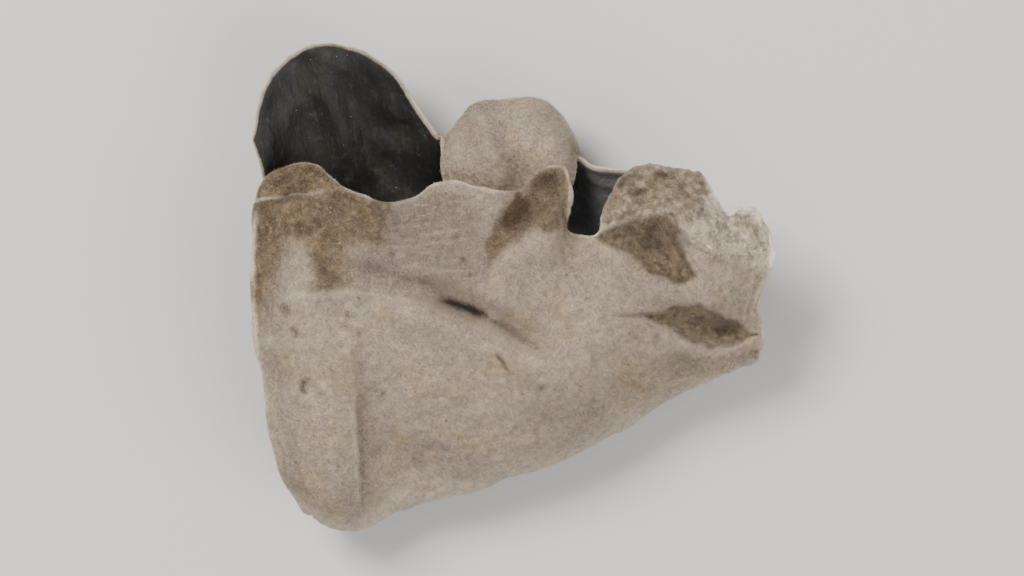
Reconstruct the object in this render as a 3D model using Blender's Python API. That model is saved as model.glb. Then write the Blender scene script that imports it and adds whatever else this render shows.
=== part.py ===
"""A dried wood ear mushroom, in Blender: one thin leathery sheet, folded over on itself.

The sheet lies on its back wall. Seen from above, its front wall shows the pale felted outside, and
the back wall rises past the front wall's upper margin and shows the smooth dark inside.
Everything is laid out in millimetres, with +X to the right, +Y up the picture and +Z off the table.
"""

import bmesh
import bpy
import numpy as np
from mathutils import Vector, noise

MM = 0.001

# ---------------------------------------------------------------- driving dimensions, in millimetres
FLESH_THICK = 1.25  # the dried sheet, away from its margin
MARGIN_THICK = 0.7  # the same sheet at its margin
MARGIN_TAPER = 5.0  # over which it thins
LEAST_THICK = 0.8  # where it is worn flat by what it lies on
COLUMNS = 44  # cells along the fold
ROWS = 54  # cells across it, from the front margin, round the fold, to the back margin
FRONT_SHARE = 0.6  # of the rows, which the front wall gets for its folds

# ---------------------------------------------------------------- the curves that the sheet passes through
# Each runs along the sheet from its left end to its right end. A row holds how far along it is, from 0 to
# 1, and the point there: x, y and z.
FRONT_EDGE = [
    (0.000, -26.6, 16.0, 9.9),  # left corner
    (0.030, -25.6, 18.0, 9.2),
    (0.058, -24.0, 19.1, 9.0),  # turned-down lip
    (0.110, -20.6, 19.0, 9.6),
    (0.145, -18.9, 17.7, 11.0),
    (0.170, -17.6, 16.6, 11.9),
    (0.205, -15.3, 15.8, 12.6),
    (0.240, -13.0, 15.3, 12.9),  # dip over the dark lobe
    (0.280, -10.8, 15.8, 12.9),
    (0.325, -8.4, 16.9, 13.0),
    (0.365, -6.4, 17.4, 13.0),
    (0.405, -4.2, 16.8, 13.1),
    (0.450, -1.4, 16.4, 13.4),
    (0.485, 0.8, 16.6, 14.0),
    (0.512, 2.4, 17.8, 14.8),
    (0.536, 4.1, 18.8, 15.2),
    (0.555, 5.4, 18.5, 15.5),  # corner beside the notch
    (0.572, 5.7, 16.9, 15.5),
    (0.600, 5.3, 14.6, 15.0),
    (0.628, 5.4, 12.6, 14.2),
    (0.648, 7.0, 11.8, 13.6),  # bottom of the notch
    (0.668, 8.7, 12.2, 13.6),
    (0.690, 9.6, 14.4, 14.4),
    (0.715, 10.9, 17.5, 14.8),
    (0.742, 12.9, 18.7, 14.4),
    (0.790, 17.2, 18.7, 14.2),  # right lobe
    (0.818, 19.3, 18.1, 14.4),
    (0.845, 20.6, 16.0, 14.8),
    (0.870, 21.8, 14.0, 14.8),  # nick in the lobe's margin
    (0.895, 23.1, 14.4, 14.2),
    (0.920, 24.6, 14.4, 13.8),
    (0.955, 26.0, 12.5, 13.4),
    (1.000, 27.4, 9.8, 13.2),
]
FRONT_UPPER = [
    (0.00, -27.3, 8.0, 12.6),
    (0.10, -21.5, 9.5, 15.6),
    (0.20, -15.5, 9.0, 15.0),
    (0.32, -9.0, 9.0, 15.0),
    (0.44, -3.5, 9.5, 15.4),
    (0.55, 0.6, 9.3, 15.8),
    (0.60, 2.6, 8.2, 15.8),
    (0.65, 6.9, 6.8, 15.6),
    (0.69, 11.2, 7.8, 15.6),
    (0.76, 15.2, 9.0, 16.0),
    (0.86, 20.0, 8.6, 16.0),
    (0.94, 23.3, 6.9, 14.2),
    (1.00, 25.2, 5.0, 11.8),
]
FRONT_LOWER = [
    (0.00, -26.0, -4.0, 12.8),
    (0.10, -20.8, -3.0, 16.2),
    (0.20, -14.5, -3.5, 15.2),
    (0.32, -8.5, -3.5, 15.4),
    (0.44, -2.0, -3.0, 15.6),
    (0.56, 4.6, -2.2, 15.2),
    (0.68, 12.0, 0.0, 14.6),
    (0.80, 18.6, 1.9, 13.4),
    (0.90, 22.8, 2.6, 12.0),
    (1.00, 25.5, 2.2, 9.7),
]
FRONT_FOOT = [
    (0.00, -24.2, -12.5, 11.3),
    (0.10, -19.0, -14.2, 13.6),
    (0.20, -13.8, -12.6, 11.6),
    (0.35, -6.0, -10.6, 11.4),
    (0.50, 2.5, -8.4, 11.6),
    (0.65, 11.0, -4.8, 11.4),
    (0.80, 18.6, -1.5, 11.0),
    (1.00, 25.3, 0.8, 8.2),
]
FOLD_NOSE = [
    (0.00, -21.8, -16.8, 7.0),
    (0.10, -18.0, -18.3, 7.2),
    (0.22, -12.5, -16.8, 6.6),
    (0.38, -4.0, -14.2, 6.3),
    (0.55, 6.0, -10.9, 6.1),
    (0.72, 15.4, -6.0, 6.0),
    (0.87, 22.0, -1.9, 6.1),
    (1.00, 24.6, 0.0, 6.3),
]
BACK_FOOT = [
    (0.00, -19.5, -12.5, 2.6),
    (0.15, -14.5, -13.3, 1.2),
    (0.35, -5.5, -10.8, 1.2),
    (0.55, 4.5, -7.4, 1.2),
    (0.75, 14.4, -3.4, 1.3),
    (1.00, 23.0, 1.0, 3.9),
]
BACK_MIDDLE = [
    (0.00, -19.6, -2.5, 3.8),
    (0.10, -16.8, -0.4, 2.8),
    (0.22, -12.5, 1.4, 2.7),
    (0.35, -7.0, 2.0, 2.7),
    (0.55, 2.0, 3.0, 2.7),
    (0.75, 12.0, 4.0, 2.9),
    (1.00, 21.9, 3.3, 3.6),
]
BACK_UPPER = [
    (0.00, -22.0, 8.4, 4.2),
    (0.07, -20.2, 10.6, 2.4),
    (0.14, -18.4, 13.6, 1.9),
    (0.24, -15.0, 16.4, 1.8),
    (0.36, -9.0, 15.5, 3.4),
    (0.50, -0.5, 18.0, 3.4),
    (0.62, 6.5, 14.5, 3.6),
    (0.78, 14.5, 12.5, 4.0),
    (0.90, 19.0, 9.4, 4.2),
    (1.00, 21.3, 6.0, 3.8),
]
BACK_RIM = [
    (0.00, -26.2, 17.4, 7.4),
    (0.07, -24.2, 21.6, 6.4),
    (0.14, -21.0, 24.6, 6.0),
    (0.22, -17.2, 25.8, 6.0),
    (0.30, -12.8, 24.4, 6.0),
    (0.37, -9.2, 20.6, 5.6),
    (0.42, -7.1, 19.4, 5.6),
    (0.455, -6.6, 21.8, 6.4),
    (0.49, -4.1, 24.6, 7.2),
    (0.54, -0.4, 25.2, 7.6),
    (0.585, 3.2, 24.9, 7.2),
    (0.615, 5.3, 22.5, 6.6),
    (0.65, 6.5, 18.6, 5.4),
    (0.72, 12.0, 16.4, 5.8),
    (0.80, 16.8, 14.2, 6.0),
    (0.90, 20.0, 11.4, 5.4),
    (1.00, 21.4, 8.4, 4.6),
]
BACK_EDGE = [
    (0.00, -27.2, 21.6, 9.2),
    (0.07, -25.8, 27.2, 10.4),
    (0.14, -22.2, 30.8, 10.2),
    (0.22, -17.4, 31.2, 10.0),
    (0.30, -12.6, 28.2, 9.6),
    (0.37, -8.8, 23.4, 8.4),
    (0.42, -7.5, 22.0, 8.2),
    (0.46, -6.2, 24.6, 8.8),
    (0.54, -0.4, 28.6, 9.8),
    (0.615, 4.5, 25.2, 9.2),
    (0.65, 6.4, 20.2, 8.2),
    (0.72, 12.6, 18.5, 8.6),
    (0.80, 17.8, 16.8, 8.8),
    (0.90, 21.8, 14.0, 7.8),
    (1.00, 22.8, 11.2, 6.2),
]
# Part of the back margin rolls over towards the front wall. Its crest and its end stand off the rim by
# these steps where the roll is full, and the end fans out sideways along the sheet.
LIP = dict(centre=0.54, half_width=0.122, ramp=0.08, crest=(0.0, -3.0, 4.3), end=(0.0, -9.8, 3.2), fan=26.0)

# ---------------------------------------------------------------- relief
# Smooth waves that drying leaves: wave length and height, everywhere and at the margin.
WAVES = dict(long=(12.0, 0.7), short=(6.0, 0.35), margin=(7.5, 1.1, 4.5))
BACK_CALM = 0.6  # how much less of it the back wall has, where it lies flat

# Folds. Each runs along a path seen from above; positive offsets are on the path's left.
FOLDS = [
    dict(  # the crease across the middle, whose lower lip stands up
        wall="front", path=[(-18.2, 7.4), (-11.2, 6.4), (-6.5, 4.8), (-2.2, 3.0), (2.2, 0.9), (8.0, -1.6)],
        depth=2.1, width=1.4, ends=(0.35, 0.35), lip=dict(height=1.1, at=-2.5, width=1.7),
    ),
    dict(  # the brown valley beside the peak
        wall="front", path=[(3.4, 20.0), (2.2, 15.8), (-0.4, 12.2), (-3.0, 8.8)],
        depth=2.4, width=1.7, ends=(0.02, 0.5), lip=dict(height=0.9, at=2.8, width=1.6),
    ),
    dict(  # the hollow under the right lobe
        wall="front", path=[(9.2, 10.6), (12.4, 11.0), (15.8, 9.3), (20.8, 5.8)],
        depth=2.4, width=2.1, ends=(0.5, 0.4), lip=dict(height=1.0, at=3.6, width=2.4),
    ),
    dict(  # the mouth of the fold on the right
        wall="front", path=[(12.4, 3.6), (17.0, 3.0), (20.5, 2.3), (25.2, 1.2)],
        depth=2.6, width=1.4, ends=(0.5, 0.3), lip=dict(height=0.8, at=-2.6, width=1.6),
    ),
    dict(  # the left strip stands higher than what lies to its right
        wall="front", path=[(-16.6, 5.0), (-16.3, -4.0), (-16.2, -12.0), (-16.0, -24.0)],
        ends=(0.45, 0.02), step=dict(height=-0.7, width=0.6, left=9.0, right=6.0),
    ),
    dict(  # a short dent in the strip
        wall="front", path=[(-21.0, 9.8), (-19.4, 8.0), (-17.6, 5.4)],
        depth=1.0, width=1.2, ends=(0.5, 0.5),
    ),
    dict(  # the line that the upper lip turns down along
        wall="front", path=[(-29.0, 15.2), (-24.0, 15.2), (-19.0, 15.9)],
        depth=0.5, width=0.7, ends=(0.05, 0.3), lip=dict(height=0.9, at=-1.5, width=1.3),
    ),
    dict(  # the upper half of the right lobe swells
        wall="front", path=[(13.5, 14.6), (18.0, 14.2), (23.0, 10.6)],
        depth=-1.2, width=3.4, ends=(0.3, 0.3),
    ),
    dict(  # a fold down the dark lobe
        wall="back", path=[(-20.5, 33.0), (-19.2, 26.0), (-16.0, 18.0), (-12.0, 11.0)],
        depth=-1.3, width=1.9, ends=(0.1, 0.5),
    ),
    dict(  # a blunt ridge down the rolled lip
        wall="back", path=[(-5.4, 28.4), (-4.2, 24.6), (-2.6, 21.6), (-1.5, 18.4), (-1.2, 13.0)],
        depth=-0.7, width=1.1, ends=(0.2, 0.3), lip=dict(height=-0.35, at=2.4, width=1.4),
    ),
]

SCAR = dict(x=-2.7, y=4.0, flat=4.4, foot=8.0, sink=2.8)  # where it grew on the wood, cut off flat


def smooth_curve(knots, values, at):
    """A smooth curve through values at knots, read at the given places along it."""
    knots, values, at = (np.asarray(a, float) for a in (knots, values, at))
    shape = (-1,) + (1,) * (values.ndim - 1)
    span = np.diff(knots).reshape(shape)
    secant = np.diff(values, axis=0) / span
    slope = np.empty_like(values)
    slope[1:-1] = (secant[:-1] * span[1:] + secant[1:] * span[:-1]) / (span[1:] + span[:-1])
    slope[0], slope[-1] = secant[0], secant[-1]
    cell = np.clip(np.searchsorted(knots, at) - 1, 0, len(knots) - 2)
    width = span[cell]
    t = (at - knots[cell]).reshape(shape) / width
    return (
        values[cell] * (1 + 2 * t) * (1 - t) ** 2
        + slope[cell] * width * t * (1 - t) ** 2
        + values[cell + 1] * t**2 * (3 - 2 * t)
        + slope[cell + 1] * width * t**2 * (t - 1)
    )


def run_of(curve, along):
    """Points of one of the curves above, at the given places along the sheet."""
    rows = np.array(curve)
    return smooth_curve(rows[:, 0], rows[:, 1:], along)


def ease(x):
    """0 below 0, 1 above 1, and a smooth step between."""
    x = np.clip(x, 0.0, 1.0)
    return x * x * (3 - 2 * x)


def even_columns(count):
    """Places along the sheet, evenly spaced by the mean length of its two margins and its fold."""
    fine = np.linspace(0, 1, 401)
    lines = [run_of(curve, fine) for curve in (FRONT_EDGE, FOLD_NOSE, BACK_EDGE)]
    steps = np.linalg.norm(np.diff(lines, axis=1), axis=2).mean(axis=0)
    run = np.insert(np.cumsum(steps), 0, 0.0)
    return np.interp(np.linspace(0, run[-1], count + 1), run, fine)


def middle_surface(along, rows):
    """The sheet's middle surface as a grid of points, and how much of each row is front and back wall."""
    front = [run_of(curve, along) for curve in (FRONT_EDGE, FRONT_UPPER, FRONT_LOWER, FRONT_FOOT)]
    back = [run_of(curve, along) for curve in (FOLD_NOSE, BACK_FOOT, BACK_MIDDLE, BACK_UPPER)]
    rim, edge = run_of(BACK_RIM, along), run_of(BACK_EDGE, along)
    roll = ease((LIP["half_width"] - np.abs(along - LIP["centre"])) / LIP["ramp"])[:, None]
    crest = (rim + edge) / 2
    crest += roll * (rim + np.array(LIP["crest"]) - crest)
    fan = LIP["fan"] * (along - LIP["centre"])[:, None] * np.array((1.0, 0.0, 0.0))
    end = edge + roll * (rim + np.array(LIP["end"]) + fan - edge)
    stack = np.array([*front, *back, rim, crest, end])
    chords = np.linalg.norm(np.diff(stack, axis=0), axis=2).mean(axis=1)
    knots = np.insert(np.cumsum(chords), 0, 0.0) / chords.sum()
    foot, nose, back_foot = knots[3:6]
    across = np.interp(np.linspace(0, 1, rows + 1), (0, FRONT_SHARE, 1), (0, nose, 1))
    in_front = 1 - ease((across - foot) / (nose - foot))
    in_back = ease((across - nose) / (back_foot - nose))
    return smooth_curve(knots, stack, across), in_front[:, None], in_back[:, None]


def outward(points):
    """Unit normals of a grid of points, on the felted side."""
    along = np.gradient(points, axis=1)
    across = np.gradient(points, axis=0)
    normal = np.cross(across, along)
    return normal / np.linalg.norm(normal, axis=2, keepdims=True)


def margin_distance(points):
    """How far each point of the grid is from the sheet's margin, measured along the sheet."""
    runs = []
    for axis in (0, 1):
        steps = np.linalg.norm(np.diff(points, axis=axis), axis=2)
        run = np.insert(np.cumsum(steps, axis=axis), 0, 0.0, axis=axis)
        runs += [run, np.take(run, [-1], axis=axis) - run]
    return np.min(runs, axis=0)


def waves(points, length, seed):
    """Smooth noise between about -1 and 1, read at the points, with waves of that length."""
    shift = Vector((seed * 17.3, seed * 9.1, seed * 5.7))
    values = [noise.noise(Vector(p) + shift) for p in points.reshape(-1, 3) / length]
    return np.array(values).reshape(points.shape[:2]) * 1.6


def fold_height(xy, fold):
    """How far one fold lifts the sheet, at places seen from above."""
    stops = np.linspace(0, 1, len(fold["path"]))
    places = np.linspace(0, 1, 61)
    line = smooth_curve(stops, fold["path"], places)
    heading = np.gradient(line, axis=0)
    heading /= np.linalg.norm(heading, axis=1, keepdims=True)
    offset = xy[..., None, :] - line
    nearest = np.argmin((offset**2).sum(axis=-1), axis=-1)
    offset = np.take_along_axis(offset, nearest[..., None, None], axis=-2)[..., 0, :]
    ahead = heading[nearest]
    side = ahead[..., 0] * offset[..., 1] - ahead[..., 1] * offset[..., 0]
    away = np.copysign(np.linalg.norm(offset, axis=-1), side)
    place = places[nearest]
    first, last = fold["ends"]
    strength = ease((place + 1e-3) / first) * ease((1 - place + 1e-3) / last)
    height = np.zeros(place.shape)
    if "depth" in fold:
        height -= fold["depth"] * np.exp(-((away / fold["width"]) ** 2))
    if "lip" in fold:
        lip = fold["lip"]
        height += lip["height"] * np.exp(-(((away - lip["at"]) / lip["width"]) ** 2))
    if "step" in fold:
        step = fold["step"]
        fade = np.where(away > 0, step["left"], step["right"])
        height += step["height"] * np.tanh(away / step["width"]) * np.exp(-((away / fade) ** 2))
    return height * strength


def scar_pull(xy):
    """1 on the scar, falling to 0 round it."""
    away = np.hypot(xy[..., 0] - SCAR["x"], xy[..., 1] - SCAR["y"])
    return 1 - ease((away - SCAR["flat"]) / (SCAR["foot"] - SCAR["flat"]))


def skins(along, rows):
    """The felted skin and the smooth skin of the finished sheet, as two grids of points."""
    points, in_front, in_back = middle_surface(along, rows)
    margin = margin_distance(points)
    relief = sum(height * waves(points, length, seed) for seed, (length, height) in enumerate(
        (WAVES["long"], WAVES["short"]), start=1))
    length, height, reach = WAVES["margin"]
    relief += height * waves(points, length, 3) * np.exp(-margin / reach)
    points = points + outward(points) * (relief * (1 - BACK_CALM * in_back))[..., None]

    thick = MARGIN_THICK + (FLESH_THICK - MARGIN_THICK) * ease(margin / MARGIN_TAPER)
    half = outward(points) * thick[..., None] / 2
    felted, smooth = points + half, points - half

    xy = points[..., :2]
    wall = dict(front=in_front, back=in_back)
    lift = sum(fold_height(xy, fold) * wall[fold["wall"]] for fold in FOLDS)
    lift -= SCAR["sink"] * scar_pull(xy) * in_back
    felted[..., 2] = np.maximum(felted[..., 2] + lift, 0.0)
    smooth[..., 2] = np.maximum(smooth[..., 2] + lift, LEAST_THICK)
    return felted, smooth


def flesh_material():
    """The pale grey-brown felt that most of the dried sheet shows."""
    material = bpy.data.materials.new("wood_ear_flesh")
    material.use_nodes = True
    shader = material.node_tree.nodes["Principled BSDF"]
    shader.inputs["Base Color"].default_value = (0.356, 0.296, 0.238, 1.0)
    shader.inputs["Roughness"].default_value = 0.9
    shader.inputs["Metallic"].default_value = 0.0
    return material


def wood_ear():
    """The closed solid: the two skins, and a rim that joins them all the way round."""
    felted, smooth = skins(even_columns(COLUMNS), ROWS)
    middle = (felted.reshape(-1, 3).min(axis=0) + felted.reshape(-1, 3).max(axis=0)) / 2
    home = np.array([middle[0], middle[1], 0.0])
    bm = bmesh.new()
    outer, inner = (
        [[bm.verts.new(point) for point in line] for line in (skin - home) * MM] for skin in (felted, smooth)
    )
    for r in range(ROWS):
        for c in range(COLUMNS):
            bm.faces.new((outer[r][c], outer[r][c + 1], outer[r + 1][c + 1], outer[r + 1][c]))
            bm.faces.new((inner[r][c], inner[r + 1][c], inner[r + 1][c + 1], inner[r][c + 1]))
    round_the_margin = [(0, c) for c in range(COLUMNS)]
    round_the_margin += [(r, COLUMNS) for r in range(ROWS)]
    round_the_margin += [(ROWS, c) for c in range(COLUMNS, 0, -1)]
    round_the_margin += [(r, 0) for r in range(ROWS, 0, -1)]
    for (r, c), (s, d) in zip(round_the_margin, round_the_margin[1:] + round_the_margin[:1]):
        bm.faces.new((outer[r][c], inner[r][c], inner[s][d], outer[s][d]))
    bmesh.ops.recalc_face_normals(bm, faces=bm.faces)
    mesh = bpy.data.meshes.new("wood_ear")
    bm.to_mesh(mesh)
    bm.free()
    mesh.materials.append(flesh_material())
    mesh.shade_smooth()
    ear = bpy.data.objects.new("wood_ear", mesh)
    bpy.context.scene.collection.objects.link(ear)


for obj in list(bpy.data.objects):
    bpy.data.objects.remove(obj)
wood_ear()
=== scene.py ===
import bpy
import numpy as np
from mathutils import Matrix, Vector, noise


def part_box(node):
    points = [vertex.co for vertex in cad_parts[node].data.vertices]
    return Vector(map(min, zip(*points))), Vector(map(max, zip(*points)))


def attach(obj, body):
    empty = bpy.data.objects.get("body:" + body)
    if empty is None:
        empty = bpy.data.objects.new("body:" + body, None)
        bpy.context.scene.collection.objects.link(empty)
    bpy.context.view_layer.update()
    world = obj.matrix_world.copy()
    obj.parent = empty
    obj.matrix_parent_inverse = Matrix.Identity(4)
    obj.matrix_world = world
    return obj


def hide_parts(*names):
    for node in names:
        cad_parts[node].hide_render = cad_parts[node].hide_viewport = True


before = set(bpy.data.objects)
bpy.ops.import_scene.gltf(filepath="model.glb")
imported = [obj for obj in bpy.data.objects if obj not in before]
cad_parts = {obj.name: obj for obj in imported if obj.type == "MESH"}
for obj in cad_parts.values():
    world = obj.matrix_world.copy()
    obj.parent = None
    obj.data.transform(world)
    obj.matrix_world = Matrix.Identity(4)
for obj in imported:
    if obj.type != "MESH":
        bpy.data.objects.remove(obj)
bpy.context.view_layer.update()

# %% [markdown]
# # A dried wood ear mushroom
#
# The real thing is one thin leathery sheet that grew out of dead wood and dried. It has two faces that look
# nothing alike: the outside carries a pale felt of short hairs, and the inside is smooth and nearly black.
# Drying folded it over on itself, so from above the front wall shows the felt, and the back wall shows its
# dark inside where it reaches past the front one.
#
# The frame above holds the plain solid that the physics uses. This script only gives it its looks, so it
# first notes the box that the solid fills, and its corner points.

MM = 0.001
solid_low, solid_high = (np.array(corner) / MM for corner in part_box("wood_ear"))
print("the solid measures", np.round(solid_high - solid_low, 1), "mm")

# %% [markdown]
# ## The curves that the sheet passes through
#
# A folded sheet could be sculpted by hand, or let fall in a cloth simulation, but neither would land on the
# plain solid. So the sheet is lofted: smooth curves run along it from its left end to its right end, and the
# surface passes through all of them, from the front margin down to the fold and up the back wall again.
# They are the same curves that the plain solid was made from. A row says how far along the sheet it is,
# from 0 to 1, and gives the point there in millimetres.

# %% The front wall, from its margin down to the fold
FRONT_EDGE = [
    (0.000, -26.6, 16.0, 9.9),  # left corner
    (0.030, -25.6, 18.0, 9.2),
    (0.058, -24.0, 19.1, 9.0),  # turned-down lip
    (0.110, -20.6, 19.0, 9.6),
    (0.145, -18.9, 17.7, 11.0),
    (0.170, -17.6, 16.6, 11.9),
    (0.205, -15.3, 15.8, 12.6),
    (0.240, -13.0, 15.3, 12.9),  # dip over the dark lobe
    (0.280, -10.8, 15.8, 12.9),
    (0.325, -8.4, 16.9, 13.0),
    (0.365, -6.4, 17.4, 13.0),
    (0.405, -4.2, 16.8, 13.1),
    (0.450, -1.4, 16.4, 13.4),
    (0.485, 0.8, 16.6, 14.0),
    (0.512, 2.4, 17.8, 14.8),
    (0.536, 4.1, 18.8, 15.2),
    (0.555, 5.4, 18.5, 15.5),  # corner beside the notch
    (0.572, 5.7, 16.9, 15.5),
    (0.600, 5.3, 14.6, 15.0),
    (0.628, 5.4, 12.6, 14.2),
    (0.648, 7.0, 11.8, 13.6),  # bottom of the notch
    (0.668, 8.7, 12.2, 13.6),
    (0.690, 9.6, 14.4, 14.4),
    (0.715, 10.9, 17.5, 14.8),
    (0.742, 12.9, 18.7, 14.4),
    (0.790, 17.2, 18.7, 14.2),  # right lobe
    (0.818, 19.3, 18.1, 14.4),
    (0.845, 20.6, 16.0, 14.8),
    (0.870, 21.8, 14.0, 14.8),  # nick in the lobe's margin
    (0.895, 23.1, 14.4, 14.2),
    (0.920, 24.6, 14.4, 13.8),
    (0.955, 26.0, 12.5, 13.4),
    (1.000, 27.4, 9.8, 13.2),
]
FRONT_UPPER = [
    (0.00, -27.3, 8.0, 12.6),
    (0.10, -21.5, 9.5, 15.6),
    (0.20, -15.5, 9.0, 15.0),
    (0.32, -9.0, 9.0, 15.0),
    (0.44, -3.5, 9.5, 15.4),
    (0.55, 0.6, 9.3, 15.8),
    (0.60, 2.6, 8.2, 15.8),
    (0.65, 6.9, 6.8, 15.6),
    (0.69, 11.2, 7.8, 15.6),
    (0.76, 15.2, 9.0, 16.0),
    (0.86, 20.0, 8.6, 16.0),
    (0.94, 23.3, 6.9, 14.2),
    (1.00, 25.2, 5.0, 11.8),
]
FRONT_LOWER = [
    (0.00, -26.0, -4.0, 12.8),
    (0.10, -20.8, -3.0, 16.2),
    (0.20, -14.5, -3.5, 15.2),
    (0.32, -8.5, -3.5, 15.4),
    (0.44, -2.0, -3.0, 15.6),
    (0.56, 4.6, -2.2, 15.2),
    (0.68, 12.0, 0.0, 14.6),
    (0.80, 18.6, 1.9, 13.4),
    (0.90, 22.8, 2.6, 12.0),
    (1.00, 25.5, 2.2, 9.7),
]
FRONT_FOOT = [
    (0.00, -24.2, -12.5, 11.3),
    (0.10, -19.0, -14.2, 13.6),
    (0.20, -13.8, -12.6, 11.6),
    (0.35, -6.0, -10.6, 11.4),
    (0.50, 2.5, -8.4, 11.6),
    (0.65, 11.0, -4.8, 11.4),
    (0.80, 18.6, -1.5, 11.0),
    (1.00, 25.3, 0.8, 8.2),
]
FRONT_CURVES = (FRONT_EDGE, FRONT_UPPER, FRONT_LOWER, FRONT_FOOT)
print("front wall:", sum(map(len, FRONT_CURVES)), "points on", len(FRONT_CURVES), "curves")

# %% The fold and the back wall, up to its margin
FOLD_NOSE = [
    (0.00, -21.8, -16.8, 7.0),
    (0.10, -18.0, -18.3, 7.2),
    (0.22, -12.5, -16.8, 6.6),
    (0.38, -4.0, -14.2, 6.3),
    (0.55, 6.0, -10.9, 6.1),
    (0.72, 15.4, -6.0, 6.0),
    (0.87, 22.0, -1.9, 6.1),
    (1.00, 24.6, 0.0, 6.3),
]
BACK_FOOT = [
    (0.00, -19.5, -12.5, 2.6),
    (0.15, -14.5, -13.3, 1.2),
    (0.35, -5.5, -10.8, 1.2),
    (0.55, 4.5, -7.4, 1.2),
    (0.75, 14.4, -3.4, 1.3),
    (1.00, 23.0, 1.0, 3.9),
]
BACK_MIDDLE = [
    (0.00, -19.6, -2.5, 3.8),
    (0.10, -16.8, -0.4, 2.8),
    (0.22, -12.5, 1.4, 2.7),
    (0.35, -7.0, 2.0, 2.7),
    (0.55, 2.0, 3.0, 2.7),
    (0.75, 12.0, 4.0, 2.9),
    (1.00, 21.9, 3.3, 3.6),
]
BACK_UPPER = [
    (0.00, -22.0, 8.4, 4.2),
    (0.07, -20.2, 10.6, 2.4),
    (0.14, -18.4, 13.6, 1.9),
    (0.24, -15.0, 16.4, 1.8),
    (0.36, -9.0, 15.5, 3.4),
    (0.50, -0.5, 18.0, 3.4),
    (0.62, 6.5, 14.5, 3.6),
    (0.78, 14.5, 12.5, 4.0),
    (0.90, 19.0, 9.4, 4.2),
    (1.00, 21.3, 6.0, 3.8),
]
BACK_RIM = [
    (0.00, -26.2, 17.4, 7.4),
    (0.07, -24.2, 21.6, 6.4),
    (0.14, -21.0, 24.6, 6.0),
    (0.22, -17.2, 25.8, 6.0),
    (0.30, -12.8, 24.4, 6.0),
    (0.37, -9.2, 20.6, 5.6),
    (0.42, -7.1, 19.4, 5.6),
    (0.455, -6.6, 21.8, 6.4),
    (0.49, -4.1, 24.6, 7.2),
    (0.54, -0.4, 25.2, 7.6),
    (0.585, 3.2, 24.9, 7.2),
    (0.615, 5.3, 22.5, 6.6),
    (0.65, 6.5, 18.6, 5.4),
    (0.72, 12.0, 16.4, 5.8),
    (0.80, 16.8, 14.2, 6.0),
    (0.90, 20.0, 11.4, 5.4),
    (1.00, 21.4, 8.4, 4.6),
]
BACK_EDGE = [
    (0.00, -27.2, 21.6, 9.2),
    (0.07, -25.8, 27.2, 10.4),
    (0.14, -22.2, 30.8, 10.2),
    (0.22, -17.4, 31.2, 10.0),
    (0.30, -12.6, 28.2, 9.6),
    (0.37, -8.8, 23.4, 8.4),
    (0.42, -7.5, 22.0, 8.2),
    (0.46, -6.2, 24.6, 8.8),
    (0.54, -0.4, 28.6, 9.8),
    (0.615, 4.5, 25.2, 9.2),
    (0.65, 6.4, 20.2, 8.2),
    (0.72, 12.6, 18.5, 8.6),
    (0.80, 17.8, 16.8, 8.8),
    (0.90, 21.8, 14.0, 7.8),
    (1.00, 22.8, 11.2, 6.2),
]
# Part of the back margin rolls over towards the front wall. Its crest and end stand off the rim by these, and
# the end fans out sideways along the sheet.
LIP = dict(centre=0.54, half_width=0.122, ramp=0.08, crest=(0.0, -3.0, 4.3), end=(0.0, -9.8, 3.2), fan=26.0)
BACK_CURVES = (FOLD_NOSE, BACK_FOOT, BACK_MIDDLE, BACK_UPPER)
print("fold and back wall:", sum(map(len, BACK_CURVES)), "points on", len(BACK_CURVES), "curves")
print("back margin:", len(BACK_RIM) + len(BACK_EDGE), "points, and one rolled lip")

# %% [markdown]
# ## Reading a smooth curve between its points
#
# Straight lines between those points would show as facets, and a single high polynomial would swing wildly.
# A cubic that keeps one slope on both sides of every point does neither. The same function is used twice:
# along the sheet to read each curve, and then across it from curve to curve.

# %% Smooth curves
def smooth_curve(knots, values, at):
    """A smooth curve through values at knots, read at the given places along it."""
    knots, values, at = (np.asarray(a, float) for a in (knots, values, at))
    shape = (-1,) + (1,) * (values.ndim - 1)
    span = np.diff(knots).reshape(shape)
    secant = np.diff(values, axis=0) / span
    slope = np.empty_like(values)
    slope[1:-1] = (secant[:-1] * span[1:] + secant[1:] * span[:-1]) / (span[1:] + span[:-1])
    slope[0], slope[-1] = secant[0], secant[-1]
    cell = np.clip(np.searchsorted(knots, at) - 1, 0, len(knots) - 2)
    width = span[cell]
    t = (at - knots[cell]).reshape(shape) / width
    return (
        values[cell] * (1 + 2 * t) * (1 - t) ** 2
        + slope[cell] * width * t * (1 - t) ** 2
        + values[cell + 1] * t**2 * (3 - 2 * t)
        + slope[cell + 1] * width * t**2 * (t - 1)
    )


def run_of(curve, along):
    """Points of one of the curves above, at the given places along the sheet."""
    rows = np.array(curve)
    return smooth_curve(rows[:, 0], rows[:, 1:], along)


def ease(x):
    """0 below 0, 1 above 1, and a smooth step between."""
    x = np.clip(x, 0.0, 1.0)
    return x * x * (3 - 2 * x)


def ramp(x, low, high):
    """The same step, from 0 at low to 1 at high."""
    return ease((x - low) / (high - low))


NOTCH = 0.648  # where the notch is, along the sheet
print("the notch is cut to", np.round(run_of(FRONT_EDGE, [NOTCH])[0], 1), "mm")

# %% [markdown]
# ## The sheet's middle surface
#
# The surface is a grid of points: columns along the sheet, rows across it. The cells are about a quarter of
# a millimetre wide on the front wall, where the eye rests, and wider on the back wall. The first few cells
# at every margin are much smaller, because the margin is rounded off there and needs them.

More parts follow.
